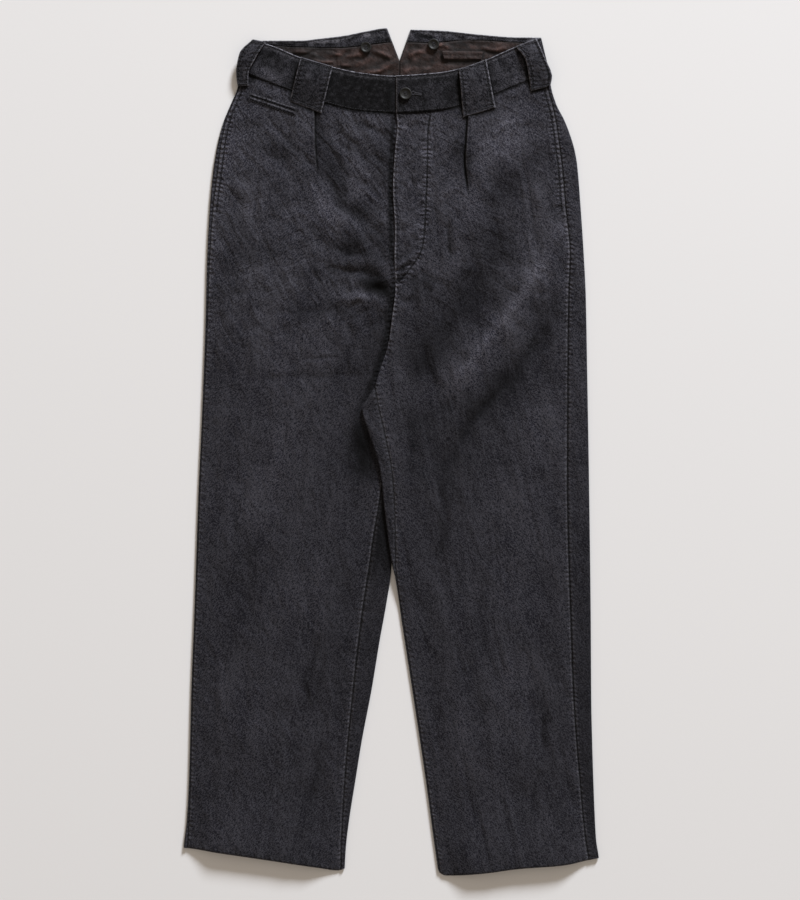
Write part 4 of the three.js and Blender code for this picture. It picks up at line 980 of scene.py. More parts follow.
def column_weights(half):
    """Each column's shares of the side edge, the pleat line and the inner edge, and its own offset."""
    steps = EDGE_STEPS
    table = [(1, 0, 0, -step) for step in steps[:-1]]
    for share in np.linspace(0, 1, half):
        table.append((1 - share, share, 0, -steps[-1] * (1 - share) + 3.0 * share))
    table += [(0, 1, 0, offset) for offset in (1.8, 0.9, 0.3, -0.3, -0.9, -1.8)]
    for share in np.linspace(0, 1, half):
        table.append((0, 1 - share, share, -3.0 * (1 - share) + steps[-1] * share))
    table += [(0, 0, 1, step) for step in steps[:-1][::-1]]
    return np.array(table, float)


front_weights = column_weights(40)


def column_x(leg, y, column):
    weights = front_weights[column]
    side = leg.side_seam(y)
    underlap = 0
    if leg.out == RIGHT:
        underlap = FLY_UNDERLAP * smooth(FLY_BOTTOM_Y - 4, FLY_BOTTOM_Y + 26, y)
    inner = np.where(y <= CROTCH_Y, leg.inseam(y), centre_front(y) + underlap)
    middle = leg.pleat(y)
    return weights[:, 0] * side + weights[:, 1] * middle + weights[:, 2] * inner + leg.out * weights[:, 3]


def bent_row(leg, row_y, x, waist):
    """A straight row of the grid, bent to the hem near the bottom and to the waist near the top."""
    hem_share = 1 - smooth(HEM_Y, HEM_Y + 90, row_y)
    waist_share = smooth(282, WAIST_Y, row_y)
    return row_y + (leg.hem(x) - HEM_Y) * hem_share + (waist(x) - WAIST_Y) * waist_share


def settle(leg, row_y, waist, column_at):
    """A row's bend depends on x, and x on how high the row lies, so the two are found in a few rounds."""
    y = row_y.copy()
    x = column_at(y)
    for _ in range(8):
        y = bent_row(leg, row_y, x, waist)
        x = column_at(y)
    return x, y


def beside_fly(x, y):
    """Distance to the fly's stitching, and which places lie on its inner side."""
    line = along_path(FLY_STITCH, 4)
    distance = beside_path(line, x, y)[0]
    edge_x = np.interp(y, line[::-1, 1], line[::-1, 0])
    return distance, (x < edge_x) & (y > line[-1, 1])


print("columns of a front:", len(front_weights))

# %% [markdown]
# # What shows on a front
# The front's own function puts all of it together. It finds each vertex's place and height, and how far it is
# from the seams, the fly, the pleat and the hem. From those distances come the pale rubbed lines, the painted
# shade in the seams, the pleat and below the band, and the puckers' painted light and shade.

# %% The fronts' faces
def front_place(leg):
    def place(column, row):
        row_y = FRONT_ROWS[row]
        x, y = settle(leg, row_y, waist_seam, lambda level: column_x(leg, level, column))
        z = front_top(leg, x, y)
        z = np.maximum(z - 0.9 * line_at(row_y, HEM_Y, 1.2), LOWEST_UPPER)
        side = np.abs(x - leg.side_seam(y))
        inner_line = np.where(y <= CROTCH_Y, leg.inseam(y), centre_front(y))
        inner = np.abs(x - inner_line)
        waist = np.abs(waist_seam(x) - y) + 1.5
        hem = np.abs(row_y - HEM_Y) + 0.9
        edge = np.minimum(np.minimum(side, inner), np.minimum(waist, hem))
        # pale bands beside the seams; near the fly the puckers' painted light and shade join them
        pale_bands_and_pucker_shading = 0.10 * line_at(side, 3, 8) + 0.10 * line_at(inner, 3, 8)
        across = leg.out * (x - leg.pleat(y))
        along = np.where((waist < side) & (waist < inner) | (hem < side) & (hem < inner), x, y)
        above = (y > CROTCH_Y) * 1.0
        inseam = inner * (1 - above) + FAR * above
        fly = inner * above + FAR * (1 - above)
        rubbed = (0.30 + 0.25 * smooth(100, 300, y)) * line_at(side, 1.6, 0.8)
        rubbed = rubbed + 0.34 * line_at(inseam, 1.6, 0.8)
        # seam lines darkened, partly dirt and partly painted shade, and painted shadow below the band's lower
        # edge
        dark = 1.1 * line_at(side, 0, 0.9) + 1.1 * line_at(inseam, 0, 0.9) + 1.7 * line_at(waist, 1.5, 2.0)
        on_pleat = smooth(leg.pleat_end, leg.pleat_end + 25, y)
        rubbed = rubbed + 0.22 * line_at(across - 1.3, 0, 0.9) * on_pleat
        pleat_shade = 0.55 if leg.out == RIGHT else 0.1
        # painted shade in the pleat's fold, and a wider painted shade on its low side
        dark = dark + 2.7 * line_at(across + 0.9, 0, 1.25) * on_pleat
        dark = dark + pleat_shade * line_at(across + 6, 0, 6.0) * on_pleat * (across < -0.8)
        pocket = leg.out * (leg.side_seam(y) - x) - POCKET_STITCH
        pocket = pocket + np.where((y > 298) & (y < 452), 0, FAR * np.sign(pocket))
        stitch = pocket
        if leg.out == LEFT:
            on_fly = smooth(205, 212, y)
            stitched, inside = beside_fly(x, y)
            signed = np.where(inside, stitched, -stitched)
            stitch = np.where(np.abs(signed) < np.abs(pocket), signed, pocket)
            pale_bands_and_pucker_shading = pale_bands_and_pucker_shading + 0.14 * line_at(stitched, 2, 7) * on_fly
            # painted light and shade of the puckers on both sides of the fly
            pucker_shading = gathers(stitched, y, 7, 5.6, 61.0) + gathers(fly, y, 8, 5.2, 63.0)
            wavy = clouds(x + 0.5 * y, y - 0.3 * x, (6, 12), 65.0) * inside * (fly < 60)
            pale_bands_and_pucker_shading = pale_bands_and_pucker_shading + (0.55 * pucker_shading + 0.28 * wavy) * on_fly
            rubbed = rubbed + 0.85 * line_at(fly, 0.8, 0.9) * smooth(90, 200, y)
            # painted shade in the groove beside the fly's edge
            dark = dark + 0.6 * line_at(fly, 3.4, 0.8) * on_fly
        rubbed = rubbed + 0.35 * line_at(hem, 0.9, 0.9)
        tone = tone_of(leg, x, y) * np.exp(pale_bands_and_pucker_shading - dark)
        return x, y, z, across, y, edge, along, tone, rubbed, stitch

    return place


COLUMNS = len(front_weights)
for leg, side in ((right_leg, "right"), (left_leg, "left")):
    piece = sheet(f"cloth_front_{side}", len(FRONT_ROWS), COLUMNS, front_place(leg), TWILL,
                  turn_over=leg.out == LEFT)
    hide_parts(f"front_{side}")

# %% [markdown]
# # The backs
# The backs are the underside. At the side and the inner leg each one turns round a fold and comes up to its
# seam on the upper side, so a strip of it shows from above. A row of the grid therefore runs from the side
# seam out to the fold, round it, under the leg, round the inner fold and up to the inseam.

# %% The two back panels
TURN_FLAT, TURN_ROUND, FLOOR_COLUMNS = 9, 9, 26
TURN = TURN_FLAT + TURN_ROUND
SEAM_STATION = 9.0 / TURN
BACK_ROWS = spread(HEM_Y, WAIST_Y, 330)


def turn_round(seam, fold, height, slack, station):
    """A place on the turn from a seam on the upper side to the floor, measured outwards."""
    radius = height / 2
    centre = fold - radius
    flat = np.maximum(centre - seam, 0)
    begin = np.arccos(np.clip((seam - centre) / radius, 0, 1)) - slack
    length = flat + radius * (begin + np.pi / 2)
    cut = np.maximum(flat, 0.3 * length)
    run = np.where(station < TURN_FLAT, cut * station / TURN_FLAT,
                   mix(cut, length, (station - TURN_FLAT) / TURN_ROUND))
    share = np.clip((run - flat) / np.maximum(length - flat, 1e-6), 0, 1)
    angle = mix(begin, -np.pi / 2, share)
    on_top = run < flat
    outwards = np.where(on_top, seam + run, centre + radius * np.cos(angle))
    height_there = np.where(on_top, np.nan, radius + radius * np.sin(angle))
    return outwards, height_there, run


def side_turn(leg, y, station):
    seam = leg.out * leg.side_seam(y)
    fold = leg.out * leg.side_fold(y)
    return turn_round(seam, fold, np.full(np.shape(y), OUTER_FOLD_HEIGHT), 0 * y, station)


def inner_turn(leg, y, station):
    low = y <= CROTCH_Y
    edge = -leg.out * centre_back(y)
    seam = np.where(low, -leg.out * leg.inseam(y), edge)
    fold = np.where(low, -leg.out * leg.inner_fold(y), edge)
    slack = np.where(low, 0.5 * (1 - smooth(0, 15, CROTCH_Y - y)), 0.5)
    outwards, height, run = turn_round(seam, fold, np.full(np.shape(y), INNER_FOLD_HEIGHT), slack, station)
    flattening = smooth(CROTCH_Y, 125, y)
    flat_place = edge - SEAM_STATION * station
    height = np.where(low, height, mix(np.nan_to_num(height), 0, flattening))
    return -np.where(low, outwards, mix(outwards, flat_place, flattening)), height, run


def back_column(leg, y, column):
    """Outward place, height and run for every column. The height is missing where the cloth lies on top."""
    side_x, side_z, side_run = side_turn(leg, y, np.minimum(column, TURN))
    last = TURN + FLOOR_COLUMNS + TURN
    inner_x, inner_z, inner_run = inner_turn(leg, y, np.clip(last - column, 0, TURN))
    side_end, _, side_length = side_turn(leg, y, np.full(np.shape(y), TURN))
    inner_end, _, inner_length = inner_turn(leg, y, np.full(np.shape(y), TURN))
    share = np.clip((column - TURN) / FLOOR_COLUMNS, 0, 1)
    floor_x = mix(side_end, inner_end, share)
    outwards = np.where(column <= TURN, side_x, np.where(column >= last - TURN, inner_x, floor_x))
    height = np.where(column <= TURN, side_z, np.where(column >= last - TURN, inner_z, 0.0))
    below = side_length + np.abs(side_end - inner_end) * share
    beyond = side_length + np.abs(side_end - inner_end) + inner_length - inner_run
    run = np.where(column <= TURN, side_run, np.where(column >= last - TURN, beyond, below))
    return outwards, height, run, inner_run, side_run


print("columns of a back:", 2 * TURN + FLOOR_COLUMNS + 1)

# %% [markdown]
# # The underside
# The floor holds the underside flat, so it has few and shallow creases. The strips that turn up are painted
# darker, as painted shade of the folds.

# %% The backs' faces
UNDERSIDE_CREASES = [
    (16, 0.5, -150, 380, -110, 300, -60, 220, -24, 150), (14, 0.45, -210, 260, -150, 190, -90, 140),
    (11, 0.4, -190, 60, -150, 20, -90, -10), (15, 0.45, -120, -90, -130, -180, -125, -260),
    (12, 0.4, -180, -300, -170, -380, -176, -450), (16, 0.5, 170, 390, 120, 310, 70, 220, 30, 150),
    (14, 0.45, 215, 230, 160, 170, 100, 120), (12, 0.4, 190, 40, 150, 0, 90, -40),
    (15, 0.45, 130, -120, 140, -210, 134, -300), (12, 0.4, 190, -330, 182, -400, 188, -460),
]


def back_place(leg):
    def place(column, row):
        row_y = BACK_ROWS[row]

        def level_line(x):
            return np.full(np.shape(x), leg.waist_side)

        def column_at(level):
            return leg.out * back_column(leg, level, column)[0]

        x, y = settle(leg, row_y, level_line, column_at)
        _, height, run, inner_run, side_run = back_column(leg, y, column)
        on_top = np.isnan(height)
        upper = front_top(leg, x, y)
        underneath = fold_heights(UNDERSIDE_CREASES, x, y) + 0.12 * (1 + clouds(x, y, (60, 110), 31.0))
        in_middle = smooth(TURN, TURN + 3, column) * smooth(TURN, TURN + 3, 2 * TURN + FLOOR_COLUMNS - column)
        low = np.nan_to_num(height) + np.maximum(underneath, 0) * in_middle + lift(leg, x, y)
        z = np.where(on_top, upper, low)
        from_side = np.where(column <= TURN, side_run, FAR)
        from_inner = np.where(column >= TURN + FLOOR_COLUMNS, inner_run, FAR)
        rolled = 0.75 * (line_at(from_side, 0, 1.3) + line_at(from_inner, 0, 1.3))
        z = np.where(z > 1.5, np.maximum(z - np.where(on_top, 0, rolled), LOWEST_UPPER), z)
        hem = np.abs(row_y - HEM_Y) + 0.9
        edge = np.minimum(np.minimum(from_side, from_inner), hem)
        # painted shade on the strips that turn up, and painted shadow on the right leg's inner strip under the
        # left leg
        strip = (column < TURN + 3) * (-0.42 * (1 - smooth(-320, 60, y)) if leg.out == LEFT else -0.15)
        under_left = smooth(-185, -110, y) if leg.out == RIGHT else 0
        strip = strip - (0.22 + 1.3 * under_left) * (column > TURN + FLOOR_COLUMNS)
        # seam lines darkened, partly dirt and partly painted shade
        dark = 0.9 * line_at(from_side, 0, 0.9) + 0.9 * line_at(from_inner, 0, 0.9)
        tone = np.exp(0.8 * FADE_UP_THE_LEG(y) + strip - dark)
        rubbed = 0.16 * line_at(from_side, 2.2, 1.0) + 0.16 * line_at(from_inner, 2.2, 1.0)
        rubbed = rubbed + 0.30 * line_at(hem, 0.9, 0.9)
        return x, y, z, run, y, edge, y, tone, rubbed

    return place


BACK_COLUMNS = 2 * TURN + FLOOR_COLUMNS + 1
for leg, side in ((right_leg, "right"), (left_leg, "left")):
    piece = sheet(f"cloth_back_{side}", len(BACK_ROWS), BACK_COLUMNS, back_place(leg), TWILL,
                  turn_over=leg.out == RIGHT)
    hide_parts(f"back_{side}")

# %% [markdown]
# # The waistband
# The front band is doubled cloth on the waist seam. Its top edge is a fold, which rubs pale. The left band
# laps over the right one's underlap, where the button closes it. The back band is one flat layer under the
# fronts.

# %% The waistband
BAND_SEAT, BAND_CLOTH, BAND_LAP, BAND_CORNER, BAND_UNDERLAP_X = 3.3, 2.2, 2.5, 9, 36
BAND_WIDTH, BAND_STITCH = 47, 2.6
LINING_SEAT = 1.5
BAND_CREASES = [
    (3.0, 0.45, 28, 447, 44, 452, 62, 462), (3.0, -0.45, 28, 443, 40, 436, 52, 432),
    (3.5, -0.4, 66, 440, 74, 452, 80, 466), (4.0, 0.35, -30, 462, -22, 450, -18, 436),
    (4.0, -0.35, -62, 470, -56, 456, -52, 440), (4.0, -0.4, -150, 500, -144, 486, -142, 470),
    (4.0, -0.4, 140, 488, 146, 474, 150, 462),
]
BAND_FADE = Curve([(-195, -0.15), (-140, -0.22), (-110, -1.1), (-60, -1.9), (0, -2.2), (6, -0.8), (60, -0.75),
                   (100, -0.7), (150, -0.05), (200, 0.2)])
# mottling of the band; the darkest strokes are painted shadow beside the side loop's foot and in the
# buttonhole's slit
BAND_PATCHES = [
    (8, -0.5, -170, 498, -150, 488, -130, 480), (7, 0.4, -184, 484, -160, 472, -134, 462),
    (6, 0.35, -60, 438, -30, 432, 0, 430), (7, -0.25, -60, 464, -30, 458, 0, 456),
    (3, -1.6, -177, 470, -175, 464, -174, 459), (5, -0.5, 12, 462, 34, 464, 70, 468),
    (7, 0.45, 44, 446, 60, 452, 78, 460), (5, 0.25, 12, 432, 40, 430, 70, 436),
    (6, -0.45, 60, 440, 72, 446, 84, 452), (9, 0.35, 128, 476, 140, 470, 160, 476),
    (6, -0.3, 150, 496, 164, 500, 178, 508), (7, -0.3, 66, 446, 73, 440, 80, 434),
    (7, 0.22, 152, 470, 161, 465, 168, 470), (1.7, -1.4, 25, 447.4, 32, 446, 39, 444.6),
    (6, 0.35, -166, 478, -150, 472, -136, 466), (7, 0.3, -74, 452, -60, 446, -46, 442),
    (5, -0.35, -158, 501, -146, 494, -132, 488), (5, -0.25, 92, 470, 96, 458, 98, 446),
]


def roll(distance, depth=1.0, radius=1.5):
    """How far a soft edge rolls down."""
    return depth * (1 - smooth(0, radius, distance) ** 0.5)


def band_height(leg, station):
    """Height of the band's upper face at a place along the waist seam."""
    corner = smooth(0, BAND_CORNER, leg.out * (leg.side_fold(leg.waist_side) - station))
    lap = BAND_LAP * (1 - smooth(34, 76, station)) if leg.out == LEFT else 0
    return mix(LINING_SEAT, BAND_SEAT, corner) + lap + mix(1.6, BAND_CLOTH, corner)


def band_waves(x, y):
    return fold_heights(BAND_CREASES, x, y) + 0.30 * clouds(x, y, (26, 34), 41.0)


def band_place(leg):
    fold = float(leg.side_fold(leg.waist_side))
    end = float(centre_front(WAIST_Y)) if leg.out == LEFT else BAND_UNDERLAP_X
    stations = spread(min(fold, end), max(fold, end), 96)
    heights = spread(0, BAND_WIDTH, 12) / BAND_WIDTH

    def place(column, row):
        station, share = stations[column], heights[row]
        x = mix(station, band_top_x(station), share)
        y = mix(waist_seam(station), band_top_y(station), share)
        from_seam, from_top = share * BAND_WIDTH, (1 - share) * BAND_WIDTH
        from_end = np.abs(station - end)
        relief = band_waves(x, y) + 0.22 * gathers(from_top, station, 8, 7.5, 43.0)
        relief = relief + 0.26 * gathers(from_seam, station, 9, 7.5, 45.0)
        relief = relief - 0.35 * line_at(from_top, BAND_STITCH, 0.9)
        z = band_height(leg, station) + relief - roll(from_seam, 0.9) - roll(from_top, 1.1)
        if leg.out == LEFT:
            z = z - roll(from_end, 1.0)
        edge = np.minimum(from_top, from_seam + 1.2)
        rubbed = 0.85 * line_at(from_top, 0.3, 0.75) + 0.15 * line_at(from_top, 4.6, 1.3)
        # painted shade in the stitch line under the top edge, at the waist seam and by the left band's end
        dark = 1.1 * line_at(from_top, 2.8, 1.0) + 1.6 * line_at(from_seam, 0, 1.6)
        if leg.out == LEFT:
            edge = np.minimum(edge, from_end)
            rubbed = rubbed + 0.8 * line_at(from_end, 0.3, 0.9)
            dark = dark + 0.5 * line_at(from_end, 2.8, 0.9)
        shade = fold_heights(LOOP_SHADOWS, x, y) + fold_heights(BAND_PATCHES, x, y)
        # painted light and shade of the puckers, on top of random mottling
        pucker_shading = gathers(from_seam, station, 8, 6.0, 45.0) + gathers(from_top, station, 7, 6.0, 43.0)
        shade = shade + 0.45 * clouds(x, y, (9, 6), 48.0) + 0.50 * pucker_shading
        # the relief goes into the tone as painted light where it is raised and painted shade where it is sunk
        tone = np.exp(BAND_FADE(station) + shade + 0.7 * relief - dark)
        specks = 0.09 * np.clip(clouds(x, y, (5, 4), 47.0), 0, 1)
        return x, y, z, station, from_seam, edge, station, tone, rubbed + specks, from_top - BAND_STITCH

    return place, len(heights), len(stations)


for leg, side in ((right_leg, "right"), (left_leg, "left")):
    place, rows, columns = band_place(leg)
    piece = sheet(f"cloth_band_{side}", rows, columns, place, BAND_TWILL, thickness=1.5)
    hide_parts(f"waistband_front_{side}")

# %% [markdown]
# # Inside the back waist
# Above the front band the inside of the back shows. It is brown lining, with a strip of the outer twill
# turned in along the top edge. At the centre back both end at a V notch, whose edges are bound. The lining is
# thin, so it wrinkles more than the twill.

# %% Back band, facing and lining
LINING_TUCK, LINING_CONTRAST, FACING_STITCH = 22, 1.6, 2.2
LINING_WRINKLES = [
    (2.4, 0.6, 5, 487, -6, 482, -17, 476), (2.0, -0.5, 1, 477, -2, 474, -4, 472),
    (2.4, 0.6, 26, 480, 21, 476, 17, 473), (2.4, 0.5, 48, 480, 44, 476, 40, 473),
    (2.6, 0.7, -25, 501, -12, 497, 1, 492), (2.2, -0.5, -45, 488, -39, 490, -33, 491),
    (2.4, 0.5, -64, 482, -56, 482, -49, 483), (2.6, 0.7, 20, 493, 31, 498, 42, 501),
    (2.6, 0.6, -32, 498, -52, 494, -78, 496), (2.6, 0.6, -90, 492, -104, 498, -122, 499),
    (2.2, -0.5, -70, 500, -84, 503, -96, 502), (3.0, 0.6, 60, 502, 76, 495, 96, 488),
    (2.6, 0.6, 112, 505, 128, 501, 146, 505), (2.2, -0.5, 88, 508, 104, 510, 120, 507),
    (2.2, -0.5, 34, 490, 46, 487, 58, 488), (2.2, -0.5, -20, 488, -28, 482, -38, 478),
    (2.2, 0.5, -130, 500, -142, 502, -152, 505), (2.2, -0.5, 66, 484, 78, 487, 92, 486),
    (2.0, -0.9, -2, 489, -22, 483, -46, 478, -66, 479), (1.8, 0.8, 0, 483, -14, 475, -30, 473),
    (2.2, -0.8, -30, 500, -18, 492, -4, 489), (2.6, -0.8, -52, 502, -60, 494, -80, 489),
    (2.4, -0.8, -96, 500, -112, 494, -124, 496), (2.2, -0.8, 14, 490, 30, 484, 52, 482),
    (3.0, 0.9, 50, 504, 60, 508, 72, 504), (2.4, -0.9, 74, 509, 82, 503, 94, 506),
    (2.4, -0.9, 60, 488, 86, 485, 112, 487), (2.6, -0.7, 116, 500, 132, 496, 150, 500),
    (2.2, -0.7, 20, 503, 30, 506, 40, 504), (2.2, 0.8, -70, 488, -84, 486, -98, 489),
]

# the dark outline and the shadow of the hanger on the lining
HANGER_SHADE = [
    (1.6, -1.2, 61, 502, 63, 494, 64, 488), (2.0, -1.1, 64, 488.2, 88, 487.6, 113, 488),
    (1.2, -0.8, 62, 501.6, 88, 502, 115, 501), (1.4, -0.9, 115, 500, 114.5, 494, 113, 489),
    (2.4, -0.6, 52, 500, 56, 499, 60, 500), (2.0, -0.8, -36, 498, -31, 496, -26, 498),
]

# creases of the lining that the light from the waist catches: dark furrows and pale ridges
LINING_SHADE = [
    (2.0, -0.8, -107, 501, -93, 494, -79, 488), (1.7, -0.7, -88, 500, -76, 497, -66, 492),
    (1.9, -0.9, -24, 502, -12, 495, 1, 487), (1.7, -0.9, -8, 482, 0, 485, 8, 487),
    (1.7, -0.8, -30, 478, -18, 480, -6, 476), (1.7, -0.6, -52, 488, -44, 492, -36, 490),
    (1.7, -0.8, -70, 482, -58, 480, -46, 474), (1.8, -0.9, 61, 504, 72, 509, 85, 509),
    (1.8, -0.9, 82, 511, 92, 508, 101, 501), (1.8, -0.7, 108, 501, 122, 500, 137, 496),
    (1.8, -0.8, 10, 480, 18, 486, 28, 490), (1.7, -0.7, 35, 473, 42, 476, 50, 476),
    (1.7, -0.6, 28, 497, 36, 496, 45, 494), (3.2, 0.35, 19, 482, 34, 494, 47, 503),
    (2.6, 0.40, 82, 506, 95, 506, 108, 503), (3.0, 0.35, -79, 490, -66, 496, -55, 499),
    (3.0, 0.35, -46, 480, -28, 488, -8, 494), (2.4, 0.35, -128, 503, -112, 503, -98, 498),
    (2.4, 0.30, 14, 474, 24, 478, 34, 480), (2.4, -0.5, 56, 496, 50, 490, 54, 482),
]


def notch_edge(out, y):
    """The edge of one back half at its centre: straight up to the notch, and slanted above its foot."""
    tip = LEFT_TIP_X if out == LEFT else RIGHT_TIP_X
    foot = float(centre_back(NOTCH_Y))
    above = mix(foot, tip, (y - NOTCH_Y) / (BACK_TIP_Y - NOTCH_Y))
    return np.where(y <= NOTCH_Y, centre_back(y), above)


def back_waist_place(leg, side_edge, low, top, height, wrinkles, rows=22, columns=110, binding=True):
    """A flat strip between two curves. A bound strip is twill with worn edges, an unbound one is lining."""
    tip = 20 if leg.out == LEFT else 0

    def place(column, row):
        share, across = row / (rows - 1), column / (columns - 1)
        y = mix(low(mix(side_edge(0), tip, across)), top(mix(side_edge(0), tip, across)), share)
        for _ in range(12):
            x = mix(side_edge(y), notch_edge(leg.out, y), across)
            y = mix(low(x), top(x), share)
        from_centre = np.abs(x - notch_edge(leg.out, y))
        from_top = np.abs(top(x) - y)
        from_low = np.abs(y - low(x))
        relief = 2.2 * fold_heights(wrinkles, x, y) + 0.35 * clouds(x, y, (16, 14), 51.0)
        relief = np.maximum(relief, -0.9)
        z = height + relief * smooth(0, 5, from_top) * smooth(0, 3, from_centre)
        z = np.maximum(z - roll(from_top, 0.5) - 0.5 * line_at(from_centre, 0, 0.9), height - 0.5)
        edge = np.minimum(from_top, from_centre) if binding else np.minimum(from_low, from_top) + 2.0
        faded = 0.60 * np.clip(0.2 + clouds(x, y, (13, 6), 58.0), 0, 1) * line_at(from_top, 5.0, 3.2)
        rubbed = 0.55 * line_at(from_top, 0.4, 1.0) + 0.6 * line_at(from_centre, 0.4, 0.9) + faded
        # painted shade along the lower edge and in the stitch line under the top
        dark = 0.9 * line_at(from_low, 0, 1.4) + 0.5 * line_at(from_top, 2.6, 0.9)
        if not binding:
            rubbed = 0 * x
            # painted shade under the facing's edge and at the centre, with the hanger's painted shadow and the
            # creases' painted light and shade
            dark = 0.05 + 0.9 * line_at(from_top, 0, 1.8) + 0.8 * line_at(from_centre, 0, 0.9)
            dark = dark - LINING_CONTRAST * fold_heights(HANGER_SHADE + LINING_SHADE, x, y)
        # painted shadow on the outer part of the right half, under the back facing
        dark = dark + 1.2 * smooth(60, 125, np.abs(x)) * (leg.out == RIGHT)
        # the relief goes into the tone as painted light where raised and painted shade where sunk, with random
        # spots
        relief_tone, spots = (0.4, 0.95 * clouds(x, y, (11, 6), 57.0)) if binding else (0.70, -0.18)
        tone = np.exp(relief_tone * relief - dark + spots)
        stitch = from_top - FACING_STITCH if binding else FAR
        return x, y, z, x, y, edge, x, tone, rubbed, stitch

    return place, rows, columns


for leg, side, fold_top, mouth in ((right_leg, "right", -172, -160), (left_leg, "left", 187, 176)):
    fold_bottom = float(leg.side_fold(leg.waist_side))
    top_y = float(back_top(fold_top))
    turned = leg.out == LEFT

    def side_edge(y):
        return mix(fold_bottom, fold_top, (y - leg.waist_side) / (top_y - leg.waist_side))

    def mouth_edge(y):
        return mouth + 0 * np.asarray(y, float)

    def band_low(x):
        return leg.waist_side + 0.3 + 0 * x

    def lining_low(x):
        return band_top_at(x) - LINING_TUCK

    def lining_top(x):
        return facing_low(x) - 0.2

    place, rows, columns = back_waist_place(leg, side_edge, band_low, back_top, 1.6, [])
    piece = sheet(f"cloth_back_band_{side}", rows, columns, place, BAND_TWILL, turn_over=turned)
    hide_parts(f"waistband_back_{side}")
    place, rows, columns = back_waist_place(leg, mouth_edge, facing_low, back_top, 2.6, [])
    piece = sheet(f"cloth_facing_{side}", rows, columns, place, BAND_TWILL, turn_over=turned)
    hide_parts(f"back_facing_{side}")
    place, rows, columns = back_waist_place(leg, mouth_edge, lining_low, lining_top, 2.7, LINING_WRINKLES,
                                            rows=40, binding=False)
    piece = sheet(f"cloth_lining_{side}", rows, columns, place, LINING, 0.6, turned)
    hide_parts(f"lining_{side}")

# %% [markdown]
# # Belt loops, coin pocket and hanger
# The belt loops are wide straps of doubled twill. Each is sewn down at both ends and bows up between them.
# The coin pocket has a narrow double welt: two lips with a slit between them. The hanger is a thin brown
# strip.

# %% Loops, welt and hanger
LOOP_SHADE = {"belt_loop_front_right": 0.15, "belt_loop_front_left": -0.25, "belt_loop_side_left": -0.30,
              "belt_loop_side_right": -0.20}


def loop_height(share):
    bow = LOOP_BOW * smooth(-0.02, 0.25, share) * (1 - smooth(0.30, 0.92, share))
    return LOOP_SEAT + LOOP_CLOTH + bow - 1.3 * smooth(0.55, 0.98, share)


def loop_place(name, seed):
    width = math.dist(LOOPS[name][1][:2], LOOPS[name][1][2:])
    length = math.dist(LOOPS[name][0][:2], LOOPS[name][3][:2])
    acrosses, downs = spread(0, width, 14) / width, spread(0, length, 26) / length

    def place(column, row):
        across, share = acrosses[column], 1 - downs[row]
        x, y = loop_point(name, across, share)
        from_side = np.minimum(across, 1 - across) * width
        from_end = np.minimum(share, 1 - share) * length
        relief = 0.28 * clouds(x, y, (14, 17), seed) + 0.15 * gathers(from_side, y, 5, 6.0, seed)
        stitched = 0.4 * line_at(from_side, LOOP_STITCH, 0.9) + 0.6 * line_at(from_end, LOOP_STITCH, 1.2)
        z = loop_height(share) + relief - stitched - roll(from_side, 1.0) - roll(from_end, 0.9)
        rubbed = 0.60 * line_at(from_side, 0.3, 0.7) + 0.40 * line_at(from_end, 0.3, 0.7)
        # painted shade in the stitch lines
        dark = 0.7 * line_at(from_side, LOOP_STITCH, 0.9) + 0.5 * line_at(from_end, LOOP_STITCH, 1.1)
        # the relief goes into the tone as painted light and shade
        tone = np.exp(0.8 * relief - dark - 0.15 - LOOP_SHADE[name])
        specks = 0.09 * np.clip(clouds(x, y, (6, 4), seed + 5), 0, 1)
        edge = np.minimum(from_side, from_end)
        return x, y, z, across * width, y, edge, y, tone, rubbed + specks, from_side - LOOP_STITCH

    return place, len(downs), len(acrosses)


for number, name in enumerate(LOOPS):
    place, rows, columns = loop_place(name, 60.0 + number)
    piece = sheet(f"cloth_{name}", rows, columns, place, BAND_TWILL, thickness=1.7)
    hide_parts(name)

WELT_LENGTH, WELT_ROWS, HANGER_LENGTH, HANGER_ROWS = 62, 22, 49, 16
WELT = [(-176.6, 448.6), (-117.6, 429.4), (-119.1, 418.4), (-177.6, 439.0)]
HANGER = [(63.4, 500.0), (114.7, 499.4), (112.4, 489.6), (66.0, 489.8)]


def strip_point(corners, across, down):
    """A place between four corners: across from the first to the second, down from them to the other two."""
    (ax, ay), (bx, by), (cx, cy), (dx, dy) = corners
    x = mix(mix(ax, bx, across), mix(dx, cx, across), down)
    y = mix(mix(ay, by, across), mix(dy, cy, across), down)
    return x, y


def welt_place(column, row):
    across, down = spread(0, WELT_LENGTH, 40)[column] / WELT_LENGTH, 1 - row / (WELT_ROWS - 1)
    x, y = strip_point(WELT, across, down)
    from_end = np.minimum(across, 1 - across) * WELT_LENGTH
    lips = 0.9 * line_at(down, 0.27, 0.17) + 0.9 * line_at(down, 0.76, 0.17)
    z = front_top(right_leg, x, y) + 0.35 + lips * smooth(0, 3, from_end) + 0.12 * clouds(x, y, (9, 9), 71.0)
    edge = 0.4 + 12 * np.minimum(np.abs(down - 0.22), np.abs(down - 0.70))
    rubbed = 0.55 * line_at(down, 0.13, 0.07) + 0.5 * line_at(down, 0.63, 0.07)
    # painted shade in the slit between the lips and along the welt's outer edges
    dark = 2.0 * line_at(down, 0.44, 0.11) + 1.6 * line_at(down, 0.0, 0.09) + 1.6 * line_at(down, 1.0, 0.12)
    return x, y, z, x, y, edge, x, np.exp(0.05 - dark), rubbed


piece = sheet("cloth_coin_pocket_welt", WELT_ROWS, len(spread(0, WELT_LENGTH, 40)), welt_place, TWILL,
              thickness=1.0)
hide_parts("coin_pocket_welt")


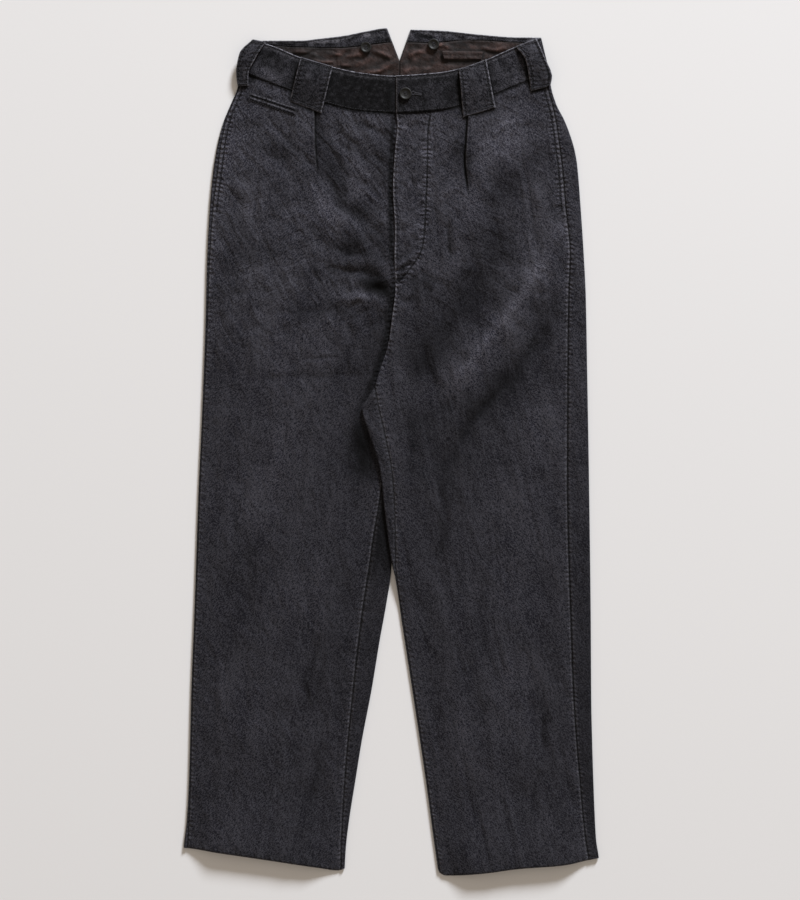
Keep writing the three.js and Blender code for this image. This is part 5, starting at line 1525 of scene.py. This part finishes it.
def hanger_place(column, row):
    across, down = spread(0, HANGER_LENGTH, 34)[column] / HANGER_LENGTH, 1 - row / (HANGER_ROWS - 1)
    x, y = strip_point(HANGER, across, down)
    bulge = 1.3 * (1 - smooth(0.0, 0.22, across)) + 0.25 * clouds(x, y, (9, 9), 75.0)
    from_long = np.minimum(down, 1 - down) * 10
    z = 4.2 + bulge - roll(from_long, 0.7, 1.2) - 0.3 * line_at(down, 0.5, 0.09)
    # painted shade in the middle stitch line and along the long edges
    dark = 0.7 * line_at(down, 0.5, 0.08) + 0.5 * line_at(from_long, 0, 0.7)
    return x, y, z, x, y, from_long + 0.8, x, np.exp(-0.15 - dark), 0.25 * line_at(from_long, 1.2, 0.6)


piece = sheet("cloth_hanger_loop", HANGER_ROWS, len(spread(0, HANGER_LENGTH, 34)), hanger_place, LINING,
              thickness=0.8)
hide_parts("hanger_loop")

# %% [markdown]
# # Buttons
# The three buttons are turned from dark horn, with a raised rim, a dished middle and four holes. A profile is
# spun round the axis, and four round bars are cut out of it with a Boolean. The thread crosses between the
# holes.

# %% Buttons and their thread
# x, y, the seat's height and the radius
BUTTONS = {"waist_button": (17.8, 445.9, 8.3, 7.6), "brace_button_right": (-31.6, 504.7, 3.1, 6.8),
           "brace_button_left": (52.8, 508.4, 3.1, 7.0)}
# how far inside the rim and how high, from the underside up and in to the dished middle
BUTTON_PROFILE = [(-0.9, 0), (-0.25, 0.25), (0, 0.8), (0, 2.0), (-0.2, 2.55), (-0.8, 2.8), (-1.5, 2.75),
                  (-2.1, 2.35), (-2.7, 2.0)]
# a hole's distance from both middle lines, its radius, and the turn of a button on its thread in radians
HOLE_SPREAD, HOLE_RADIUS, BUTTON_TURN = 1.5, 0.85, 0.35


def new_piece(name, shape, material, slot):
    """An object from a finished bmesh. A cutter has no slot and doesn't ride."""
    mesh = bpy.data.meshes.new(name)
    shape.to_mesh(mesh)
    shape.free()
    mesh.materials.append(material)
    piece = bpy.data.objects.new(name, mesh)
    bpy.context.collection.objects.link(piece)
    if slot:
        finish_piece(piece)
    return piece


def button_shape(radius):
    shape = bmesh.new()
    places = [(0, 0)] + [(radius + inset, z) for inset, z in BUTTON_PROFILE] + [(0, 1.75)]
    line = [shape.verts.new((r, 0, z)) for r, z in places]
    edges = [shape.edges.new(pair) for pair in zip(line, line[1:])]
    bmesh.ops.spin(shape, geom=line + edges, cent=(0, 0, 0), axis=(0, 0, 1), angle=2 * math.pi, steps=48,
                   use_merge=True)
    bmesh.ops.remove_doubles(shape, verts=shape.verts, dist=0.001)
    bmesh.ops.recalc_face_normals(shape, faces=shape.faces)
    return shape


def hole_cutters():
    """Four round bars, one for each hole."""
    shape = bmesh.new()
    for angle in range(4):
        turn = math.pi / 4 + angle * math.pi / 2
        reach = HOLE_SPREAD * math.sqrt(2)
        place = Matrix.Translation((reach * math.cos(turn), reach * math.sin(turn), 1.4))
        bmesh.ops.create_cone(shape, cap_ends=True, segments=16, radius1=HOLE_RADIUS, radius2=HOLE_RADIUS,
                              depth=6, matrix=place)
    return shape


def cut_with(piece, cutter):
    """Cuts the cutter out of the piece, which stays a plain mesh."""
    boolean = piece.modifiers.new("holes", "BOOLEAN")
    boolean.object = cutter
    boolean.solver = "EXACT"
    bpy.context.view_layer.update()
    seen = piece.evaluated_get(bpy.context.evaluated_depsgraph_get())
    result = bpy.data.meshes.new_from_object(seen)
    piece.modifiers.clear()
    piece.data = result
    bpy.data.objects.remove(cutter)


for name, (x, y, seat, radius) in BUTTONS.items():
    to_place = Matrix.Translation((x * MM, y * MM, seat * MM)) @ Matrix.Scale(MM, 4)
    piece = new_piece(f"horn_{name}", button_shape(radius), HORN, "button")
    cut_with(piece, new_piece("cutter", hole_cutters(), HORN, None))
    piece.data.transform(to_place @ Matrix.Rotation(BUTTON_TURN, 4, "Z"))
    for face in piece.data.polygons:
        face.use_smooth = True
    rim = piece.modifiers.new("soft_edges", "BEVEL")
    rim.width = 0.12 * MM
    rim.segments = 2
    rim.limit_method = "ANGLE"
    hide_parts(name)
    print(name, "faces", len(piece.data.polygons))

# %% [markdown]
# # Stitches
# A row of stitches is many copies of one small capsule, laid end to end on the cloth with short gaps between
# them. Each capsule has a few dozen faces, because there are many of them. The rows follow the sewing lines
# that show: the fly, the pocket mouths, the edges of the band, the belt loops, the coin pocket, the facing
# and the hanger.

# %% Rows of stitches
STITCH, GAP, THREAD = 2.3, 0.9, 0.27


def resample(points, step):
    """Places at even steps along a line of points, with the direction there."""
    points = np.asarray(points, float)
    lengths = np.concatenate([[0], np.cumsum(np.hypot(*np.diff(points, axis=0).T))])
    places = np.arange(step / 2, lengths[-1], step)
    x = np.interp(places, lengths, points[:, 0])
    y = np.interp(places, lengths, points[:, 1])
    ahead_x = np.interp(places + 0.4, lengths, points[:, 0]) - np.interp(places - 0.4, lengths, points[:, 0])
    ahead_y = np.interp(places + 0.4, lengths, points[:, 1]) - np.interp(places - 0.4, lengths, points[:, 1])
    return x, y, np.arctan2(ahead_y, ahead_x)


def capsule(shape, place, length, width, height, around=6, rings=5):
    """Adds a small rounded body to a mesh: a ball that is stretched along its own x."""
    size = Matrix.Diagonal((length * MM, width * MM, height * MM, 1))
    bmesh.ops.create_uvsphere(shape, u_segments=around, v_segments=rings, radius=1, matrix=place @ size)


def round_faces(shape):
    for face in shape.faces:
        face.smooth = True


def sew(shape, points, height, stitch=STITCH, gap=GAP, thread=THREAD):
    """Adds a row of stitches to a mesh. height(x, y) is the height of the cloth."""
    x, y, turn = resample(points, stitch + gap)
    z = height(x, y)
    ahead = height(x + 0.8 * np.cos(turn), y + 0.8 * np.sin(turn))
    for px, py, pz, pa, angle in zip(x, y, z, ahead, turn):
        slope = math.atan2(pa - pz, 0.8)
        place = Matrix.Translation((px * MM, py * MM, (pz + thread * 0.45) * MM))
        place = place @ Matrix.Rotation(angle, 4, "Z") @ Matrix.Rotation(-slope, 4, "Y")
        capsule(shape, place, stitch / 2, thread, thread * 0.8)
    return len(x)


def sewn_piece(name, lines, material, slot="twill"):
    """One piece for all the stitches of one part. lines holds the points, the height and the stitch sizes."""
    shape = bmesh.new()
    count = sum(sew(shape, points, height, *sizes) for points, height, *sizes in lines)
    round_faces(shape)
    print(name, "stitches", count, "faces", len(shape.faces))
    return new_piece(name, shape, material, slot)


def on_front(leg):
    return lambda x, y: front_top(leg, np.asarray(x), np.asarray(y))


def seam_inside(leg, low, high, inset):
    levels = np.linspace(low, high, 40)
    return np.stack([leg.side_seam(levels) - leg.out * inset, levels], axis=1)


fly_line = along_path(FLY_STITCH, 6)
levels = np.linspace(214, 420, 60)
fly_edge = np.stack([centre_front(levels) + 2.2, levels], axis=1)
sewn_piece("stitches_fly", [
    (fly_line, on_front(left_leg)),
    (fly_edge, on_front(left_leg)),
    ([(8, 211.5), (16, 213.5), (24, 222)], on_front(left_leg), 2.0, 0.1, 0.4),
    ([(43.5, 423.0), (50, 420.0), (57.2, 416.2)], on_front(left_leg), 2.0, 0.1, 0.45),
    ([(9.7, 420.5), (17.2, 417.4)], on_front(left_leg), 2.0, 0.1, 0.45),
], DARK_THREAD)
sewn_piece("stitches_pockets", [
    (seam_inside(left_leg, 300, 450, POCKET_STITCH), on_front(left_leg)),
    ([(192.2, 292.2), (203, 296.2), (213.4, 299.7)], on_front(left_leg), 2.2, 0.1, 0.42),
    (seam_inside(right_leg, 300, 440, POCKET_STITCH), on_front(right_leg)),
    ([(-218, 301), (-208, 297.5), (-198, 294.5)], on_front(right_leg), 2.2, 0.1, 0.42),
], DARK_THREAD)


# %% [markdown]
# # Stitches of the band and the belt loops
# One row runs along each edge of the band. Each belt loop has a row down both sides and a bar tack across
# both ends. Each row asks for the height of the cloth below it, so that it neither floats nor sinks in.

# %% Stitches of the band and the loops
BAND_EDGE = BAND_STITCH / BAND_WIDTH


def band_line(start, end, share):
    stations = np.linspace(start, end, 90)
    x = mix(stations, band_top_x(stations), share)
    y = mix(waist_seam(stations), band_top_y(stations), share)
    return np.stack([x, y], axis=1)


def on_band(leg):
    def height(x, y):
        from_top = (1 - np.clip((y - waist_seam(x)) / BAND_WIDTH, 0, 1)) * BAND_WIDTH
        return band_height(leg, x) + (band_waves(x, y) - 0.35 * line_at(from_top, BAND_STITCH, 0.9))

    return height


sewn_piece("stitches_band", [
    (band_line(-186, 4, 1 - BAND_EDGE), on_band(right_leg)),
    (band_line(-186, 4, BAND_EDGE), on_band(right_leg)),
    (band_line(9, 193, 1 - BAND_EDGE), on_band(left_leg)),
    (band_line(9, 193, BAND_EDGE), on_band(left_leg)),
    (np.stack([np.full(20, 8.6), np.linspace(426, 465, 20)], axis=1), on_band(left_leg)),
], DARK_THREAD)


def loop_line(name, across_from, across_to, from_share, to_share):
    steps = np.linspace(0, 1, 30)
    x, y = loop_point(name, mix(across_from, across_to, steps), mix(from_share, to_share, steps))
    return np.stack([x, y], axis=1)


def on_loop(name):
    knots = np.linspace(0, 1, 60)
    middle_y = loop_point(name, 0.5, knots)[1]
    near = Curve(sorted(zip(middle_y, knots)))
    top = LOOPS[name][0]
    slope = (top[3] - top[1]) / (top[2] - top[0])

    def height(x, y):
        middle = loop_point(name, 0.5, np.clip(near(y), 0, 1))[0]
        share = np.clip(near(y - slope * (x - middle)), 0, 1)
        return loop_height(share) - 0.25

    return height


loop_rows = []
for name in LOOPS:
    width = math.dist(LOOPS[name][1][:2], LOOPS[name][1][2:])
    inset = LOOP_STITCH / width
    loop_rows += [
        (loop_line(name, inset, inset, 0.03, 0.97), on_loop(name)),
        (loop_line(name, 1 - inset, 1 - inset, 0.03, 0.97), on_loop(name)),
        (loop_line(name, 0.05, 0.95, 0.055, 0.055), on_loop(name), 2.2, 0.1, 0.36),
        (loop_line(name, 0.05, 0.95, 0.945, 0.945), on_loop(name), 2.2, 0.1, 0.36),
    ]
sewn_piece("stitches_loops", loop_rows, DARK_THREAD)


# %% [markdown]
# # Stitches inside the waist and on the coin pocket
# The facing is sewn to the lining and round the notch. The hanger has a row down its middle, the centre seam
# of the lining one on both sides, and the coin pocket one on each lip.

# %% Stitches of the facing, the lining and the welt
def flat_at(level):
    return lambda x, y: level + 0 * np.asarray(x, float)


def facing_line(start, end, offset):
    x = np.linspace(start, end, 80)
    return np.stack([x, facing_low(x) + offset], axis=1)


def notch_line(out, inset):
    y = np.linspace(NOTCH_Y + 1, BACK_TIP_Y - 2.5, 12)
    return np.stack([notch_edge(out, y) + out * inset, y], axis=1)


def top_line(start, end, offset):
    x = np.linspace(start, end, 80)
    return np.stack([x, back_top(x) - offset], axis=1)


sewn_piece("stitches_facing", [
    (facing_line(-156, -1, 1.2), flat_at(2.6)), (facing_line(21, 172, 1.2), flat_at(2.6)),
    (top_line(-156, -8, 2.0), flat_at(2.6)), (top_line(27, 172, 2.0), flat_at(2.6)),
    (notch_line(LEFT, 2.0), flat_at(2.7)), (notch_line(RIGHT, 2.0), flat_at(2.7)),
], DARK_THREAD)
sewn_piece("stitches_lining", [
    ([(67, 494.9), (90, 494.8), (112, 494.6)], flat_at(3.95)),
    ([(12.4, 470), (12.2, 486)], flat_at(2.75)), ([(8.2, 470), (8.4, 486)], flat_at(2.75)),
], BROWN_THREAD, "lining")


def welt_line(down, start=0.02, end=0.98):
    across = np.linspace(start, end, 20)
    x, y = strip_point(WELT, across, down)
    return np.stack([x, y], axis=1)


def on_welt(x, y):
    return front_top(right_leg, np.asarray(x), np.asarray(y)) + 0.75


sewn_piece("stitches_welt", [
    (welt_line(0.04), on_welt), (welt_line(0.5), on_welt), (welt_line(0.97), on_welt),
    (np.stack(strip_point(WELT, 0.01, np.linspace(0, 1, 6)), axis=1), on_welt, 2.0, 0.1, 0.36),
    (np.stack(strip_point(WELT, 0.99, np.linspace(0, 1, 6)), axis=1), on_welt, 2.0, 0.1, 0.36),
], DARK_THREAD)

# %% [markdown]
# # Buttonhole and button thread
# The keyhole buttonhole lies beside the waist button and points to the wearer's left. Close satin stitches
# stand round a dark slit. The buttons are held by two bars of thread each.

# %% Buttonhole and button thread
def keyhole_outline():
    """The slit's outline, with a round eye at the button's end."""
    points = []
    for step in range(37):
        angle = math.radians(40 + step * (280 / 36))
        points.append((27.2 + 2.0 * math.cos(angle), 446.8 + 2.0 * math.sin(angle)))
    points += [(29.5, 445.6), (33, 445.0), (37.0, 444.2), (37.6, 445.0), (37.0, 445.8), (33, 446.6)]
    points.append((29.5, 447.4))
    points.append(points[0])
    return points


hole_shape = bmesh.new()
hx, hy, hturn = resample(keyhole_outline(), 0.55)
hz = on_band(left_leg)(hx, hy) + 0.25
for px, py, pz, angle in zip(hx, hy, hz, hturn):
    place = Matrix.Translation((px * MM, py * MM, pz * MM)) @ Matrix.Rotation(angle + math.pi / 2, 4, "Z")
    capsule(hole_shape, place, 0.95, 0.3, 0.3)
round_faces(hole_shape)
new_piece("buttonhole_stitches", hole_shape, DARK_THREAD, "twill")

thread_shape = bmesh.new()
for x, y, seat, radius in BUTTONS.values():
    for side in (-1, 1):
        middle = Matrix.Translation((x * MM, y * MM, (seat + 2.05) * MM))
        middle = middle @ Matrix.Rotation(BUTTON_TURN, 4, "Z")
        for strand in (-0.22, 0.22):
            place = middle @ Matrix.Translation((0, (side * HOLE_SPREAD + strand) * MM, 0))
            capsule(thread_shape, place, 2.0, 0.26, 0.32, 8, 8)
round_faces(thread_shape)
new_piece("button_thread", thread_shape, BUTTON_THREAD, "button")
print("buttonhole stitches:", len(hx))
